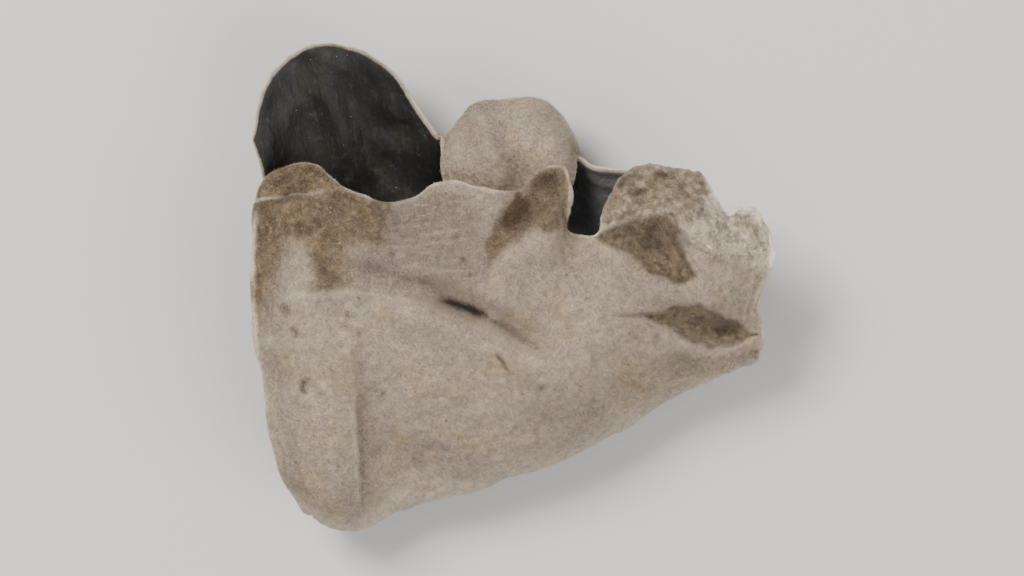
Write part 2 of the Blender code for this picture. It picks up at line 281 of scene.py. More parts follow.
# %% Places of the columns and rows
COLUMNS, ROWS = 284, 264
FRONT_SHARE = 0.6  # of the rows, for the front wall
ROUND_CELLS = 4  # cells in the rounding of a margin
MARGIN_ROUND = 0.34  # how far in from the margin the rounding reaches, in millimetres
FINE_PLACES = 401  # for measuring how long the curves are


def places(count, length, middle=(0.5, 0.5)):
    """Places from 0 to 1, close together at both margins; middle says which place a share of them reaches."""
    close = MARGIN_ROUND / length
    share, place = middle
    stops = (0, ROUND_CELLS, share * count, count - ROUND_CELLS, count)
    return np.interp(np.arange(count + 1), stops, (0, close, place, 1 - close, 1))


def column_places(count):
    """Places of the columns, evenly spaced by the mean length of the two margins and the fold."""
    fine = np.linspace(0, 1, FINE_PLACES)
    lines = [run_of(curve, fine) for curve in (FRONT_EDGE, FOLD_NOSE, BACK_EDGE)]
    steps = np.linalg.norm(np.diff(lines, axis=1), axis=2).mean(axis=0)
    run = np.insert(np.cumsum(steps), 0, 0.0)
    return np.interp(places(count, run[-1]) * run[-1], run, fine)


along = column_places(COLUMNS)
print(COLUMNS, "columns; the closest are", round(float(np.diff(along).min()), 5), "of the length apart")


# %% The middle surface
def middle_surface(along, rows):
    """The sheet's middle surface as a grid of points, and how much of each row is front and back wall."""
    front = [run_of(curve, along) for curve in FRONT_CURVES]
    back = [run_of(curve, along) for curve in BACK_CURVES]
    rim, edge = run_of(BACK_RIM, along), run_of(BACK_EDGE, along)
    roll = ease((LIP["half_width"] - np.abs(along - LIP["centre"])) / LIP["ramp"])[:, None]
    crest = (rim + edge) / 2
    crest += roll * (rim + np.array(LIP["crest"]) - crest)
    fan = LIP["fan"] * (along - LIP["centre"])[:, None] * np.array((1.0, 0.0, 0.0))
    end = edge + roll * (rim + np.array(LIP["end"]) + fan - edge)
    stack = np.array([*front, *back, rim, crest, end])
    chords = np.linalg.norm(np.diff(stack, axis=0), axis=2).mean(axis=1)
    knots = np.insert(np.cumsum(chords), 0, 0.0) / chords.sum()
    foot, nose, back_foot = knots[3:6]
    across = places(rows, chords.sum(), (FRONT_SHARE, nose))
    in_front = 1 - ramp(across, foot, nose)
    in_back = ramp(across, nose, back_foot)
    return smooth_curve(knots, stack, across), in_front[:, None], in_back[:, None], across


points, in_front, in_back, across = middle_surface(along, ROWS)
print("grid of", points.shape[0], "x", points.shape[1], "points")

# %% [markdown]
# ## Waves, margins and normals
#
# Drying shrinks the flesh unevenly, and the sheet buckles into low waves, most of all along its margins,
# which have nothing to hold them. Smooth noise gives such waves. The solid has the long ones, so here they
# are repeated with the same seeds, and only the small irregularities of the margin itself are new.

# %% Helpers that measure the sheet
NOISE_GAIN = 1.6  # makes smooth noise reach about from -1 to 1
SEED_SHIFT = (17.3, 9.1, 5.7)  # how far apart the noise of two seeds is read


def outward(grid):
    """Unit normals of a grid of points, on the felted side."""
    normal = np.cross(np.gradient(grid, axis=0), np.gradient(grid, axis=1))
    return normal / np.linalg.norm(normal, axis=2, keepdims=True)


def margin_distance(grid):
    """How far each point of the grid is from the sheet's margin, measured along the sheet."""
    runs = []
    for axis in (0, 1):
        steps = np.linalg.norm(np.diff(grid, axis=axis), axis=2)
        run = np.insert(np.cumsum(steps, axis=axis), 0, 0.0, axis=axis)
        runs += [run, np.take(run, [-1], axis=axis) - run]
    return np.min(runs, axis=0)


def waves(grid, length, seed):
    """Smooth noise between about -1 and 1, read at the points, with waves of that length."""
    shift = Vector([seed * step for step in SEED_SHIFT])
    values = [noise.noise(Vector(p) + shift) for p in grid.reshape(-1, 3) / length]
    return np.array(values).reshape(grid.shape[:2]) * NOISE_GAIN


margin = margin_distance(points)
print("the sheet is", round(float(margin.max()), 1), "mm from its margin at the most")

# %% The waves of the dried sheet
WAVES = [(12.0, 0.7), (6.0, 0.35)]  # wave length and height
MARGIN_WAVES = dict(length=7.5, height=1.1, reach=4.5)
BACK_CALM = 0.6  # how much less of them the back wall has, where it lies flat
MARGIN_WOBBLE = dict(length=1.7, height=0.16, reach=1.2)  # of the margin's line, within the sheet


def layered(grid, layers, seed):
    """Waves of several lengths and heights, one on top of the other."""
    return sum(height * waves(grid, length, seed + i) for i, (length, height) in enumerate(layers))


def along_margin(grid, length, height, reach, seed):
    """Waves that die away at that distance from the margin."""
    return height * waves(grid, length, seed) * np.exp(-margin / reach)


relief = layered(points, WAVES, seed=1) + along_margin(points, **MARGIN_WAVES, seed=3)
points = points + outward(points) * (relief * (1 - BACK_CALM * in_back))[..., None]

inward = np.gradient(points, axis=0)
inward /= np.linalg.norm(inward, axis=2, keepdims=True)
points = points + inward * along_margin(points, **MARGIN_WOBBLE, seed=4)[..., None]
print("waves up to", round(float(np.abs(relief).max()), 2), "mm high")

# %% [markdown]
# ## The thickness, with a rounded margin
#
# The dried sheet is a little over a millimetre thick and thins towards its margin. A flat cut edge would
# look like cardboard, so over the last third of a millimetre the two faces close in a quarter circle.

# %% Felted face and smooth face
FLESH_THICK = 1.25
MARGIN_THICK = 0.7
MARGIN_TAPER = 5.0
LEAST_THICK = 0.8  # where it is worn flat by what it lies on
EDGE_SHARE = 0.18  # of the thickness, which is left at the very edge

thick = MARGIN_THICK + (FLESH_THICK - MARGIN_THICK) * ease(margin / MARGIN_TAPER)
round_off = np.sqrt(np.clip(1 - (1 - np.minimum(margin / MARGIN_ROUND, 1)) ** 2, 0, 1))
half = outward(points) * (thick * np.maximum(round_off, EDGE_SHARE))[..., None] / 2
felted, smooth = points + half, points - half
print("thickness from", round(float(thick.min()), 2), "to", round(float(thick.max()), 2), "mm")

# %% [markdown]
# ## Folds and creases
#
# A fold is the same dent in both faces, so it is a height that is added to both. Each one is a line seen
# from above with a section across it: a valley, a raised lip beside it, or a step. The broad folds are the
# solid's own. The fine ones after them are only here, and make the crisp slits and lines that a thin dry
# skin has where it was bent hard.

# %% The broad folds, as the solid has them
def fold(path, depth=0.0, width=1.0, ends=(0.4, 0.4), wall="front", lip=None, step=None):
    """A fold's path and section, where ends says over which share of its length it rises at either end.

    Whoever walks along the path has the lip at that distance to the left, or to the right if it is negative.
    """
    return dict(path=path, depth=depth, width=width, ends=ends, wall=wall, lip=lip, step=step)


BROAD_FOLDS = [
    fold(  # the crease across the middle, whose lower lip stands up
        [(-18.2, 7.4), (-11.2, 6.4), (-6.5, 4.8), (-2.2, 3.0), (2.2, 0.9), (8.0, -1.6)],
        depth=2.1, width=1.4, ends=(0.35, 0.35), lip=dict(height=1.1, at=-2.5, width=1.7),
    ),
    fold(  # the brown valley beside the peak
        [(3.4, 20.0), (2.2, 15.8), (-0.4, 12.2), (-3.0, 8.8)],
        depth=2.4, width=1.7, ends=(0.02, 0.5), lip=dict(height=0.9, at=2.8, width=1.6),
    ),
    fold(  # the hollow under the right lobe
        [(9.2, 10.6), (12.4, 11.0), (15.8, 9.3), (20.8, 5.8)],
        depth=2.4, width=2.1, ends=(0.5, 0.4), lip=dict(height=1.0, at=3.6, width=2.4),
    ),
    fold(  # the mouth of the fold on the right
        [(12.4, 3.6), (17.0, 3.0), (20.5, 2.3), (25.2, 1.2)],
        depth=2.6, width=1.4, ends=(0.5, 0.3), lip=dict(height=0.8, at=-2.6, width=1.6),
    ),
    fold(  # the left strip stands higher than what lies to its right
        [(-16.6, 5.0), (-16.3, -4.0), (-16.2, -12.0), (-16.0, -24.0)],
        ends=(0.45, 0.02), step=dict(height=-0.7, width=0.6, left=9.0, right=6.0),
    ),
    fold(  # a short dent in the strip
        [(-21.0, 9.8), (-19.4, 8.0), (-17.6, 5.4)],
        depth=1.0, width=1.2, ends=(0.5, 0.5),
    ),
    fold(  # the line that the upper lip turns down along
        [(-29.0, 15.2), (-24.0, 15.2), (-19.0, 15.9)],
        depth=0.5, width=0.7, ends=(0.05, 0.3), lip=dict(height=0.9, at=-1.5, width=1.3),
    ),
    fold(  # the upper half of the right lobe swells
        [(13.5, 14.6), (18.0, 14.2), (23.0, 10.6)],
        depth=-1.2, width=3.4, ends=(0.3, 0.3),
    ),
    fold(  # a fold down the dark lobe
        [(-20.5, 33.0), (-19.2, 26.0), (-16.0, 18.0), (-12.0, 11.0)],
        wall="back", depth=-1.3, width=1.9, ends=(0.1, 0.5),
    ),
    fold(  # a blunt ridge down the rolled lip
        [(-5.4, 28.4), (-4.2, 24.6), (-2.6, 21.6), (-1.5, 18.4), (-1.2, 13.0)],
        wall="back", depth=-0.7, width=1.1, ends=(0.2, 0.3), lip=dict(height=-0.35, at=2.4, width=1.4),
    ),
]
print(len(BROAD_FOLDS), "broad folds")

# %% The fine folds
FINE_FOLDS = [
    fold(  # the open slit in the middle crease
        [(-8.4, 5.0), (-6.6, 4.5), (-4.6, 3.8), (-2.2, 2.7)],
        depth=1.9, width=0.55, ends=(0.5, 0.16), lip=dict(height=0.4, at=-1.0, width=0.5),
    ),
    fold(  # its fainter run to the left
        [(-17.4, 5.9), (-13.2, 5.3), (-9.8, 5.0), (-7.4, 4.6)],
        depth=0.35, width=0.4, ends=(0.4, 0.3), lip=dict(height=0.25, at=0.9, width=0.5),
    ),
    fold(  # and to the right
        [(-3.2, 3.1), (-0.6, 2.0), (1.8, 0.8), (5.0, -0.8), (8.6, -1.8)],
        depth=0.4, width=0.42, ends=(0.2, 0.6), lip=dict(height=0.2, at=-0.9, width=0.5),
    ),
    fold(  # the bottom of the brown valley
        [(4.9, 19.0), (3.5, 15.6), (1.0, 13.2), (-1.9, 10.9)],
        depth=0.7, width=0.6, ends=(0.05, 0.5), lip=dict(height=0.3, at=1.5, width=0.6),
    ),
    fold(  # the upper lip turns down along a crisp line
        [(-29.0, 15.1), (-24.0, 15.15), (-19.0, 15.9)],
        depth=0.45, width=0.35, ends=(0.03, 0.3), lip=dict(height=0.4, at=-0.8, width=0.45),
    ),
    fold(  # the crisp right edge of the strip
        [(-16.4, -2.6), (-16.3, -7.0), (-16.25, -12.0), (-16.2, -24.0)],
        ends=(0.3, 0.02), step=dict(height=-0.15, width=0.25, left=1.6, right=1.6),
    ),
    fold(  # a light ridge over the middle crease
        [(-15.6, 7.2), (-13.2, 7.0), (-10.6, 6.6)],
        depth=-0.2, width=0.45, ends=(0.4, 0.4),
    ),
    fold(  # a short crease in the strip
        [(-19.9, 9.2), (-19.4, 7.2), (-18.9, 5.0)],
        depth=0.25, width=0.45, ends=(0.4, 0.4),
    ),
    fold(  # short dry cracks in the strip
        [(-22.7, 2.4), (-22.1, 1.6), (-21.7, 0.7)],
        depth=0.35, width=0.3, ends=(0.4, 0.4),
    ),
    fold(
        [(-20.7, -2.8), (-21.3, -3.8), (-21.0, -5.1)],
        depth=0.45, width=0.3, ends=(0.3, 0.3),
    ),
    fold(
        [(-23.5, 4.6), (-23.0, 3.8), (-22.6, 2.9)],
        depth=0.3, width=0.4, ends=(0.4, 0.4),
    ),
    fold(  # a scratch below the slit
        [(-2.2, -0.2), (-1.2, -1.3), (0.0, -2.5)],
        depth=0.25, width=0.25, ends=(0.4, 0.3),
    ),
    fold(  # the seam that the right mouth tapers into
        [(8.6, 3.0), (11.6, 3.3), (14.6, 3.4)],
        depth=0.3, width=0.35, ends=(0.6, 0.1),
    ),
    fold(  # folds on the right lobe, where it turns towards the hollow
        [(17.6, 12.8), (18.6, 10.6), (20.6, 8.6), (22.4, 7.0)],
        depth=0.5, width=0.7, ends=(0.4, 0.4), lip=dict(height=0.15, at=1.2, width=0.6),
    ),
    fold(
        [(22.1, 14.4), (21.4, 12.2), (19.8, 11.0), (18.4, 10.2)],
        depth=0.6, width=0.6, ends=(0.2, 0.5),
    ),
    fold(  # wrinkles that run down from the dip in the margin
        [(-12.6, 15.6), (-11.8, 12.6), (-12.2, 10.0)],
        depth=0.3, width=0.7, ends=(0.1, 0.6),
    ),
    fold(
        [(-7.6, 16.8), (-7.8, 14.0), (-7.0, 11.4)],
        depth=0.25, width=0.6, ends=(0.1, 0.6),
    ),
    fold(  # a crisp ridge down the rolled lip, with a flat beside it
        [(-4.2, 27.0), (-3.6, 24.4), (-2.6, 21.8), (-1.7, 19.0)],
        wall="back", depth=-0.3, width=0.5, ends=(0.15, 0.25), lip=dict(height=-0.4, at=1.5, width=1.1),
    ),
    fold(  # two soft pleats on the rolled lip
        [(-4.4, 27.6), (-4.8, 23.6), (-3.8, 18.6)],
        wall="back", depth=0.2, width=0.8, ends=(0.2, 0.3),
    ),
    fold(
        [(2.4, 27.4), (2.9, 23.4), (2.2, 18.8)],
        wall="back", depth=0.2, width=0.8, ends=(0.2, 0.3),
    ),
]
print(len(FINE_FOLDS), "fine folds")


# %% How a fold lifts the sheet
PATH_SAMPLES = 61  # places along a fold's path
PATH_END = 0.001  # keeps a little height at the very ends of the path


def fold_height(xy, one):
    """How far one fold lifts the sheet, at places seen from above."""
    stops = np.linspace(0, 1, len(one["path"]))
    samples = np.linspace(0, 1, PATH_SAMPLES)
    line = smooth_curve(stops, one["path"], samples)
    heading = np.gradient(line, axis=0)
    heading /= np.linalg.norm(heading, axis=1, keepdims=True)
    offset = xy[..., None, :] - line
    nearest = np.argmin((offset**2).sum(axis=-1), axis=-1)
    offset = np.take_along_axis(offset, nearest[..., None, None], axis=-2)[..., 0, :]
    ahead = heading[nearest]
    side = ahead[..., 0] * offset[..., 1] - ahead[..., 1] * offset[..., 0]
    away = np.copysign(np.linalg.norm(offset, axis=-1), side)
    place = samples[nearest]
    first, last = one["ends"]
    strength = ease((place + PATH_END) / first) * ease((1 - place + PATH_END) / last)
    height = -one["depth"] * np.exp(-((away / one["width"]) ** 2))
    if lip := one["lip"]:
        height += lip["height"] * np.exp(-(((away - lip["at"]) / lip["width"]) ** 2))
    if step := one["step"]:
        fade = np.where(away > 0, step["left"], step["right"])
        height += step["height"] * np.tanh(away / step["width"]) * np.exp(-((away / fade) ** 2))
    return height * strength


def together(xy, folds):
    """What a list of folds does together, each on its own wall only."""
    wall = dict(front=in_front, back=in_back)
    return sum(fold_height(xy, one) * wall[one["wall"]] for one in folds)


xy = points[..., :2]
lift, fine_lift = together(xy, BROAD_FOLDS), together(xy, FINE_FOLDS)
print("folds from", round(float(lift.min()), 1), "to", round(float(lift.max()), 1), "mm")
print("fine folds down to", round(float(fine_lift.min()), 1), "mm")

# %% [markdown]
# ## Pockets, stains, painted shade and the granular lobe
#
# Some marks are areas and not lines: two pockets whose edge is crisp, the brown stains where moisture dried
# last, and the lobe on the right whose felt has clotted into grains. The brown in the pockets, the valley
# and at the rolled lip's foot is painted shade as well as stain, the grey band over the middle crease is
# partly a painted shadow, and a patch of the inside seen through the notch is painted light. Each is an
# outline seen from above.
# Its distance map says how deep inside it a point is, and noise moves the outline a little, because no
# stain has a drawn edge.

# %% Outlines, in millimetres seen from above
RIGHT_MOUTH = [
    (13.6, 3.3), (16.4, 4.3), (18.8, 4.7), (21.0, 3.9), (23.0, 2.9), (25.2, 1.5),
    (22.8, 0.5), (20.6, 0.3), (18.4, 0.8), (16.2, 2.0),
]
LOBE_HOLLOW = [
    (8.8, 11.4), (10.4, 12.4), (12.0, 13.2), (13.6, 13.3), (14.8, 13.7), (15.6, 13.3), (16.3, 12.4),
    (16.8, 11.3), (17.6, 10.2), (17.8, 9.1), (18.8, 7.5), (17.8, 6.6), (16.8, 6.7), (15.7, 7.3),
    (14.0, 7.8), (13.2, 8.9), (12.3, 9.6), (10.7, 10.2), (9.6, 10.8),
]
RIGHT_LOBE = [
    (8.4, 12.2), (9.4, 18.0), (12.4, 21.0), (18.6, 21.0), (22.0, 16.0), (26.0, 16.0), (29.0, 10.0),
    (27.8, 7.8), (24.6, 8.2), (22.2, 9.2), (20.2, 9.4), (18.8, 9.2), (17.8, 11.6), (15.8, 13.6), (11.9, 13.2),
]
CLOTTED = [
    (8.2, 14.0), (8.8, 19.0), (12.0, 22.0), (20.0, 22.0), (20.8, 16.6), (19.6, 14.4), (18.2, 13.0),
    (16.6, 13.4), (14.4, 13.4), (11.6, 12.8), (8.6, 11.4),
]
LEFT_STAIN = [
    (-29.0, 16.6), (-15.6, 16.2), (-12.9, 14.6), (-12.6, 12.2), (-13.4, 10.6), (-16.8, 9.9),
    (-17.8, 8.8), (-18.0, 5.8), (-20.2, 5.0), (-20.5, 8.6), (-21.2, 10.6), (-22.6, 10.6),
    (-23.4, 8.4), (-24.6, 5.6), (-26.0, 3.2), (-29.0, 3.2),
]
UPPER_LIP = [(-29.0, 15.4), (-26.4, 19.8), (-19.6, 20.4), (-16.8, 16.8), (-18.8, 15.9), (-24.0, 15.3)]
# Brown in the valley: a stain, and painted shade in its hollow.
VALLEY_STAIN_AND_SHADE = [
    (2.9, 18.6), (6.1, 20.0), (5.9, 16.2), (5.3, 12.5), (3.7, 12.0), (2.4, 12.3), (1.2, 11.5),
    (0.0, 10.8), (-1.2, 9.3), (-2.6, 8.2), (-3.0, 9.8), (-1.9, 12.0), (-0.7, 14.0), (0.3, 15.4),
    (1.6, 15.8), (1.8, 16.8),
]
# Painted shade where the rolled lip meets the front wall's margin.
LIP_FOOT_SHADE = [(-7.6, 20.0), (-7.6, 15.0), (4.0, 15.0), (4.0, 19.6), (0.0, 20.0)]
LIP_LEFT = [(-8.0, 17.0), (-8.0, 23.0), (-4.0, 27.0), (-3.2, 22.0), (-3.6, 17.0)]
# Greyer felt, and a painted shadow over the middle crease.
GREY_BAND_AND_SHADOW = [
    (-13.2, 14.6), (-8.0, 16.2), (-3.2, 14.4), (-2.8, 10.0), (-2.6, 6.6), (-7.0, 5.6), (-12.0, 6.2),
    (-16.8, 7.0), (-17.4, 9.4), (-13.8, 10.0),
]
PINK_MIDDLE = [(0.6, 9.6), (6.0, 10.6), (11.0, 9.0), (13.0, 5.4), (8.6, 2.2), (2.0, 2.6), (-1.6, 5.8)]
# Painted light for the inside, where it is seen through the notch and lies in shade.
NOTCH_PAINTED_LIGHT = [(4.6, 10.0), (12.0, 10.0), (12.0, 21.0), (5.4, 21.0)]  # on the inside, seen through the notch
print("twelve outlines")


# %% Distance inside an outline
def depth_inside(xy, outline):
    """How far inside an outline each point is; negative outside it."""
    corners = np.array(outline, float)
    nearest = np.full(xy.shape[:-1], np.inf)
    inside = np.zeros(xy.shape[:-1], bool)
    for start, stop in zip(corners, np.roll(corners, -1, axis=0)):
        side = stop - start
        offset = xy - start
        share = np.clip((offset @ side) / (side @ side), 0, 1)
        gap = np.linalg.norm(offset - share[..., None] * side, axis=-1)
        nearest = np.minimum(nearest, gap)
        crosses = (start[1] > xy[..., 1]) != (stop[1] > xy[..., 1])
        if side[1]:
            reach = start[0] + (xy[..., 1] - start[1]) * side[0] / side[1]
            inside ^= crosses & (xy[..., 0] < reach)
    return np.where(inside, nearest, -nearest)


def drift(grid, length, amount, seed):
    """The places seen from above, moved sideways by smooth noise."""
    step = np.stack([waves(grid, length, seed), waves(grid, length, seed + 1)], axis=-1)
    return grid[..., :2] + amount * step


def area(outline, places, soft):
    """1 well inside an outline, 0 outside it, over a soft edge of that width."""
    return ease(depth_inside(places, outline) / soft + 0.5)


loose = drift(points, length=2.6, amount=0.8, seed=11)
crisp = drift(points, length=1.4, amount=0.16, seed=21)
mouth = area(RIGHT_MOUTH, crisp, soft=0.5) * in_front
hollow = area(LOBE_HOLLOW, crisp, soft=0.6) * in_front
lobe = area(RIGHT_LOBE, crisp, soft=0.8) * in_front
print("the mouth covers", round(100 * float((mouth > 0.5).mean()), 2), "% of the sheet")

# %% Stains and painted shade as strengths from 0 to 1
TINT = dict(left_stain=0.95, lip_foot_shade=0.25, lip_left=0.28, middle=0.25)  # of those that are fainter

left_stain = TINT["left_stain"] * area(LEFT_STAIN, loose, soft=2.6) * in_front
upper_lip = area(UPPER_LIP, crisp, soft=0.6) * in_front
valley = area(VALLEY_STAIN_AND_SHADE, drift(points, length=1.3, amount=0.3, seed=13), soft=1.1) * in_front
lip_foot_shade = TINT["lip_foot_shade"] * area(LIP_FOOT_SHADE, loose, soft=2.4) * in_back
lip_left = TINT["lip_left"] * area(LIP_LEFT, loose, soft=1.6) * in_back
# Brown holds the stains, and also painted shade in the valley, the mouth, the hollow and at the rolled lip's
# foot.
brown = np.max([left_stain, upper_lip, valley, mouth, hollow, lip_foot_shade, lip_left], axis=0)
clotted = area(CLOTTED, loose, soft=1.6) * lobe
middle_grey = TINT["middle"] * area(PINK_MIDDLE, loose, soft=3.2)
grey = np.maximum(area(GREY_BAND_AND_SHADOW, loose, soft=2.6), middle_grey) * in_front
notch_light = area(NOTCH_PAINTED_LIGHT, loose, soft=2.0) * in_back
print("brown stain on", round(100 * float((brown > 0.5).mean()), 1), "% of the sheet")

# %% [markdown]
# Thin marks are lines again. Where the sheet was bent or rubbed it is bleached nearly white, and where it
# opened into a crack it is dark. Other lines are painted light and shade: painted highlights along the
# raised lips of the middle crease, on the strip's edge and on the lit side of the rolled lip, and painted
# shade in the slit, in the valley, in and round the hollow, inside the right mouth and under the lips. A
# line of colour is a fold without any height, so the function that shapes the folds draws these too.

# %% Light lines
def mark(path, strength, width, ends=(0.4, 0.4), wall="front"):
    """A line of colour: a fold's path and section, with a strength in place of a height."""
    return fold(path, -strength, width, ends, wall)


LIGHT_LINES = [
    # the crease of the upper lip, and the left margin
    mark([(-27.8, 14.9), (-25.0, 15.15), (-21.4, 15.6)], 1.2, 0.16, (0.02, 0.8)),
    mark([(-24.4, 15.2), (-20.8, 15.7), (-17.6, 16.2)], 0.3, 0.18),
    mark(
        [(-26.5, 14.6), (-26.75, 10.0), (-26.7, 4.0), (-26.1, -2.0), (-25.2, -8.0)],
        1.0, 0.28, (0.1, 0.35),
    ),
    # painted highlights along the lips of the middle crease, and on the raised right edge of the strip
    mark([(-26.6, 3.9), (-23.5, 5.0), (-19.0, 5.4), (-13.5, 5.3), (-9.6, 4.4), (-5.0, 2.7)], 0.36, 0.3),
    mark([(-15.4, 7.0), (-13.6, 6.9), (-11.4, 6.7)], 0.15, 0.3),
    mark([(-4.6, 2.6), (-2.4, 1.6), (0.4, 0.2)], 0.35, 0.4),
    mark([(-16.6, -3.6), (-16.5, -9.0), (-16.4, -16.5)], 0.45, 0.25, (0.2, 0.1)),
    # round the hollow under the right lobe
    mark([(8.9, 11.8), (10.4, 12.9), (12.6, 13.6), (15.4, 13.8)], 0.6, 0.18, (0.05, 0.9)),
    mark([(14.4, 12.6), (15.4, 11.6), (16.3, 10.4), (17.2, 9.2), (18.2, 7.9)], 0.5, 0.4),
    mark([(16.4, 13.6), (17.3, 12.4), (17.7, 11.2), (18.5, 9.8), (19.6, 8.0)], 0.1, 0.35),
    # the right margin of the lobe, and under the right mouth
    mark(
        [(23.6, 14.6), (25.6, 13.0), (26.8, 10.2), (26.6, 7.8), (25.2, 5.6), (24.7, 4.2)],
        1.3, 0.42, (0.2, 0.3),
    ),
    mark([(13.4, 2.6), (17.4, 0.7), (20.6, -0.2), (23.6, 0.5)], 0.2, 0.3),
    # the margins on both sides of the notch, and beside the peak
    mark([(5.95, 19.0), (5.95, 16.6), (5.6, 14.8), (5.35, 12.8)], 0.8, 0.22, (0.05, 0.2)),
    mark([(-4.4, 16.5), (-1.4, 16.1), (1.2, 16.4)], 0.6, 0.25),
    mark([(8.6, 11.4), (9.2, 12.6), (9.6, 14.2)], 1.2, 0.34, (0.1, 0.5)),
    mark([(2.1, 15.7), (3.2, 15.2), (4.4, 14.9)], 0.2, 0.25),
    # the sides of the rolled lip, and a painted highlight on its lit left side
    mark([(-7.3, 19.0), (-7.0, 22.4), (-4.4, 25.2), (-1.0, 26.0)], 0.6, 0.35, (0.3, 0.4), "back"),
    mark([(4.0, 25.0), (5.6, 22.4), (6.6, 19.6)], 0.6, 0.35, wall="back"),
    mark([(-5.4, 24.2), (-5.4, 21.4), (-5.2, 18.2)], 0.1, 1.2, (0.2, 0.2), "back"),
]
print(len(LIGHT_LINES), "light lines")

# %% Dark lines
DARK_LINES = [
    # painted shade in the slit and along its run to the right, and a painted shadow over the crease's left
    # run
    mark([(-8.7, 5.1), (-6.7, 4.55), (-4.5, 3.8), (-2.5, 3.0)], 2.2, 0.42, (0.6, 0.25)),
    mark([(-3.1, 3.2), (-1.1, 2.3), (0.7, 1.3), (2.9, 0.25), (5.2, -0.2)], 0.75, 0.42, (0.05, 0.8)),
    mark([(-18.2, 8.4), (-15.2, 8.2), (-11.4, 7.6)], 0.35, 0.6),
    # painted shade along the bottom of the brown valley
    mark([(3.9, 18.4), (2.6, 15.6), (0.9, 13.2), (-1.6, 10.6)], 0.5, 1.4, (0.1, 0.3)),
    # the shade to the right of the strip
    mark([(-16.2, -3.6), (-16.1, -9.0), (-16.0, -16.5)], 0.15, 0.2, (0.2, 0.1)),
    mark([(-15.2, -1.0), (-14.8, -6.0), (-14.8, -14.0)], 0.1, 1.3),
    # cracks in the strip, and the scratch below the slit
    mark([(-22.7, 2.4), (-22.1, 1.6), (-21.7, 0.8)], 0.6, 0.35),
    mark([(-20.7, -2.8), (-21.3, -3.8), (-21.0, -5.1)], 0.85, 0.28, (0.3, 0.3)),
    mark([(-21.8, -5.6), (-21.0, -6.1), (-20.1, -5.9)], 0.4, 0.25),
    mark([(-19.7, 8.6), (-19.4, 7.0), (-19.0, 5.4)], 0.2, 0.4),
    mark([(-23.5, 4.6), (-23.0, 3.8), (-22.6, 2.9)], 0.6, 0.45),
    mark([(-2.2, -0.2), (-1.2, -1.3), (0.0, -2.5)], 0.8, 0.22, (0.3, 0.2)),
    # the seam that runs into the right mouth, and a painted shadow under the upper lip
    mark([(10.4, 3.2), (12.4, 3.4), (14.4, 3.4)], 0.45, 0.26, (0.7, 0.1)),
    mark([(-26.8, 14.3), (-24.0, 14.7), (-20.0, 15.1)], 0.6, 0.3, (0.1, 0.6)),
    # painted shade in and round the hollow under the right lobe
    mark([(14.8, 13.6), (16.2, 13.4), (16.8, 12.2), (16.7, 11.0)], 0.8, 0.35, (0.3, 0.3)),
    mark([(17.0, 10.4), (17.3, 9.4), (18.4, 8.0), (19.4, 6.8)], 0.5, 0.25),
    mark([(12.6, 11.4), (14.4, 11.0), (15.8, 9.6)], 0.35, 0.9),
    mark([(16.6, 7.9), (17.4, 7.2), (18.2, 7.0)], 0.5, 0.45),
    mark([(9.4, 11.2), (11.0, 11.7), (12.6, 12.4)], 0.3, 0.6),
    mark([(16.9, 12.3), (17.7, 11.3), (18.8, 10.5), (20.2, 9.4)], 0.4, 0.42, (0.2, 0.5)),
    # pits in the lobe's clotted felt
    mark([(10.6, 16.2), (11.6, 17.4), (13.4, 17.9)], 1.1, 0.42, (0.2, 0.3)),
    mark([(14.0, 17.9), (15.2, 17.7), (16.2, 17.2)], 1.1, 0.4, (0.3, 0.3)),
    mark([(11.8, 15.4), (12.8, 15.9), (13.6, 15.5)], 0.6, 0.4),
    mark([(19.2, 15.4), (19.4, 14.0), (20.4, 12.6)], 0.6, 0.5),
    # painted shade inside the end of the right mouth, and a dark stretch of the left margin
    mark([(20.6, 2.5), (22.2, 2.2), (23.9, 1.8)], 0.6, 0.9, (0.35, 0.3)),
    mark([(-26.6, 8.4), (-26.8, 6.0), (-26.6, 3.8)], 0.4, 0.25),
    # painted shade beside the rolled lip's ridge, and a painted shadow at its foot
    mark([(-2.6, 26.0), (-2.0, 23.4), (-0.8, 21.0), (0.2, 18.4)], 0.22, 1.1, (0.1, 0.2), "back"),
    mark([(-7.8, 17.9), (-6.4, 17.9), (-4.6, 17.8)], 0.8, 0.3, wall="back"),
]
print(len(DARK_LINES), "dark lines")

# %% Dots: where they are, and how wide
DARK_DOTS = [  # freckles and small pits
    (-5.7, 11.2, 0.32), (-5.0, 8.9, 0.28), (-4.4, 7.4, 0.26), (-12.5, 9.5, 0.3), (-13.4, -4.6, 0.4),
    (-14.3, -4.2, 0.2), (2.9, -3.7, 0.34), (19.6, 16.6, 0.4), (12.9, 15.8, 0.4), (14.2, 12.0, 0.6),
    (-23.8, 17.4, 0.4), (-21.4, 16.9, 0.35), (-20.9, 18.2, 0.3), (-24.6, 16.6, 0.3), (1.2, 14.6, 0.7),
    (3.9, 17.2, 0.9), (-0.4, 12.8, 0.8), (0.7, 13.6, 0.9), (18.9, 13.4, 0.5), (17.4, 16.2, 0.4),
    (-17.2, 3.4, 0.28), (-17.5, 2.2, 0.25), (-16.2, 1.4, 0.25), (-18.6, -2.1, 0.22), (-19.8, -4.4, 0.22),
]
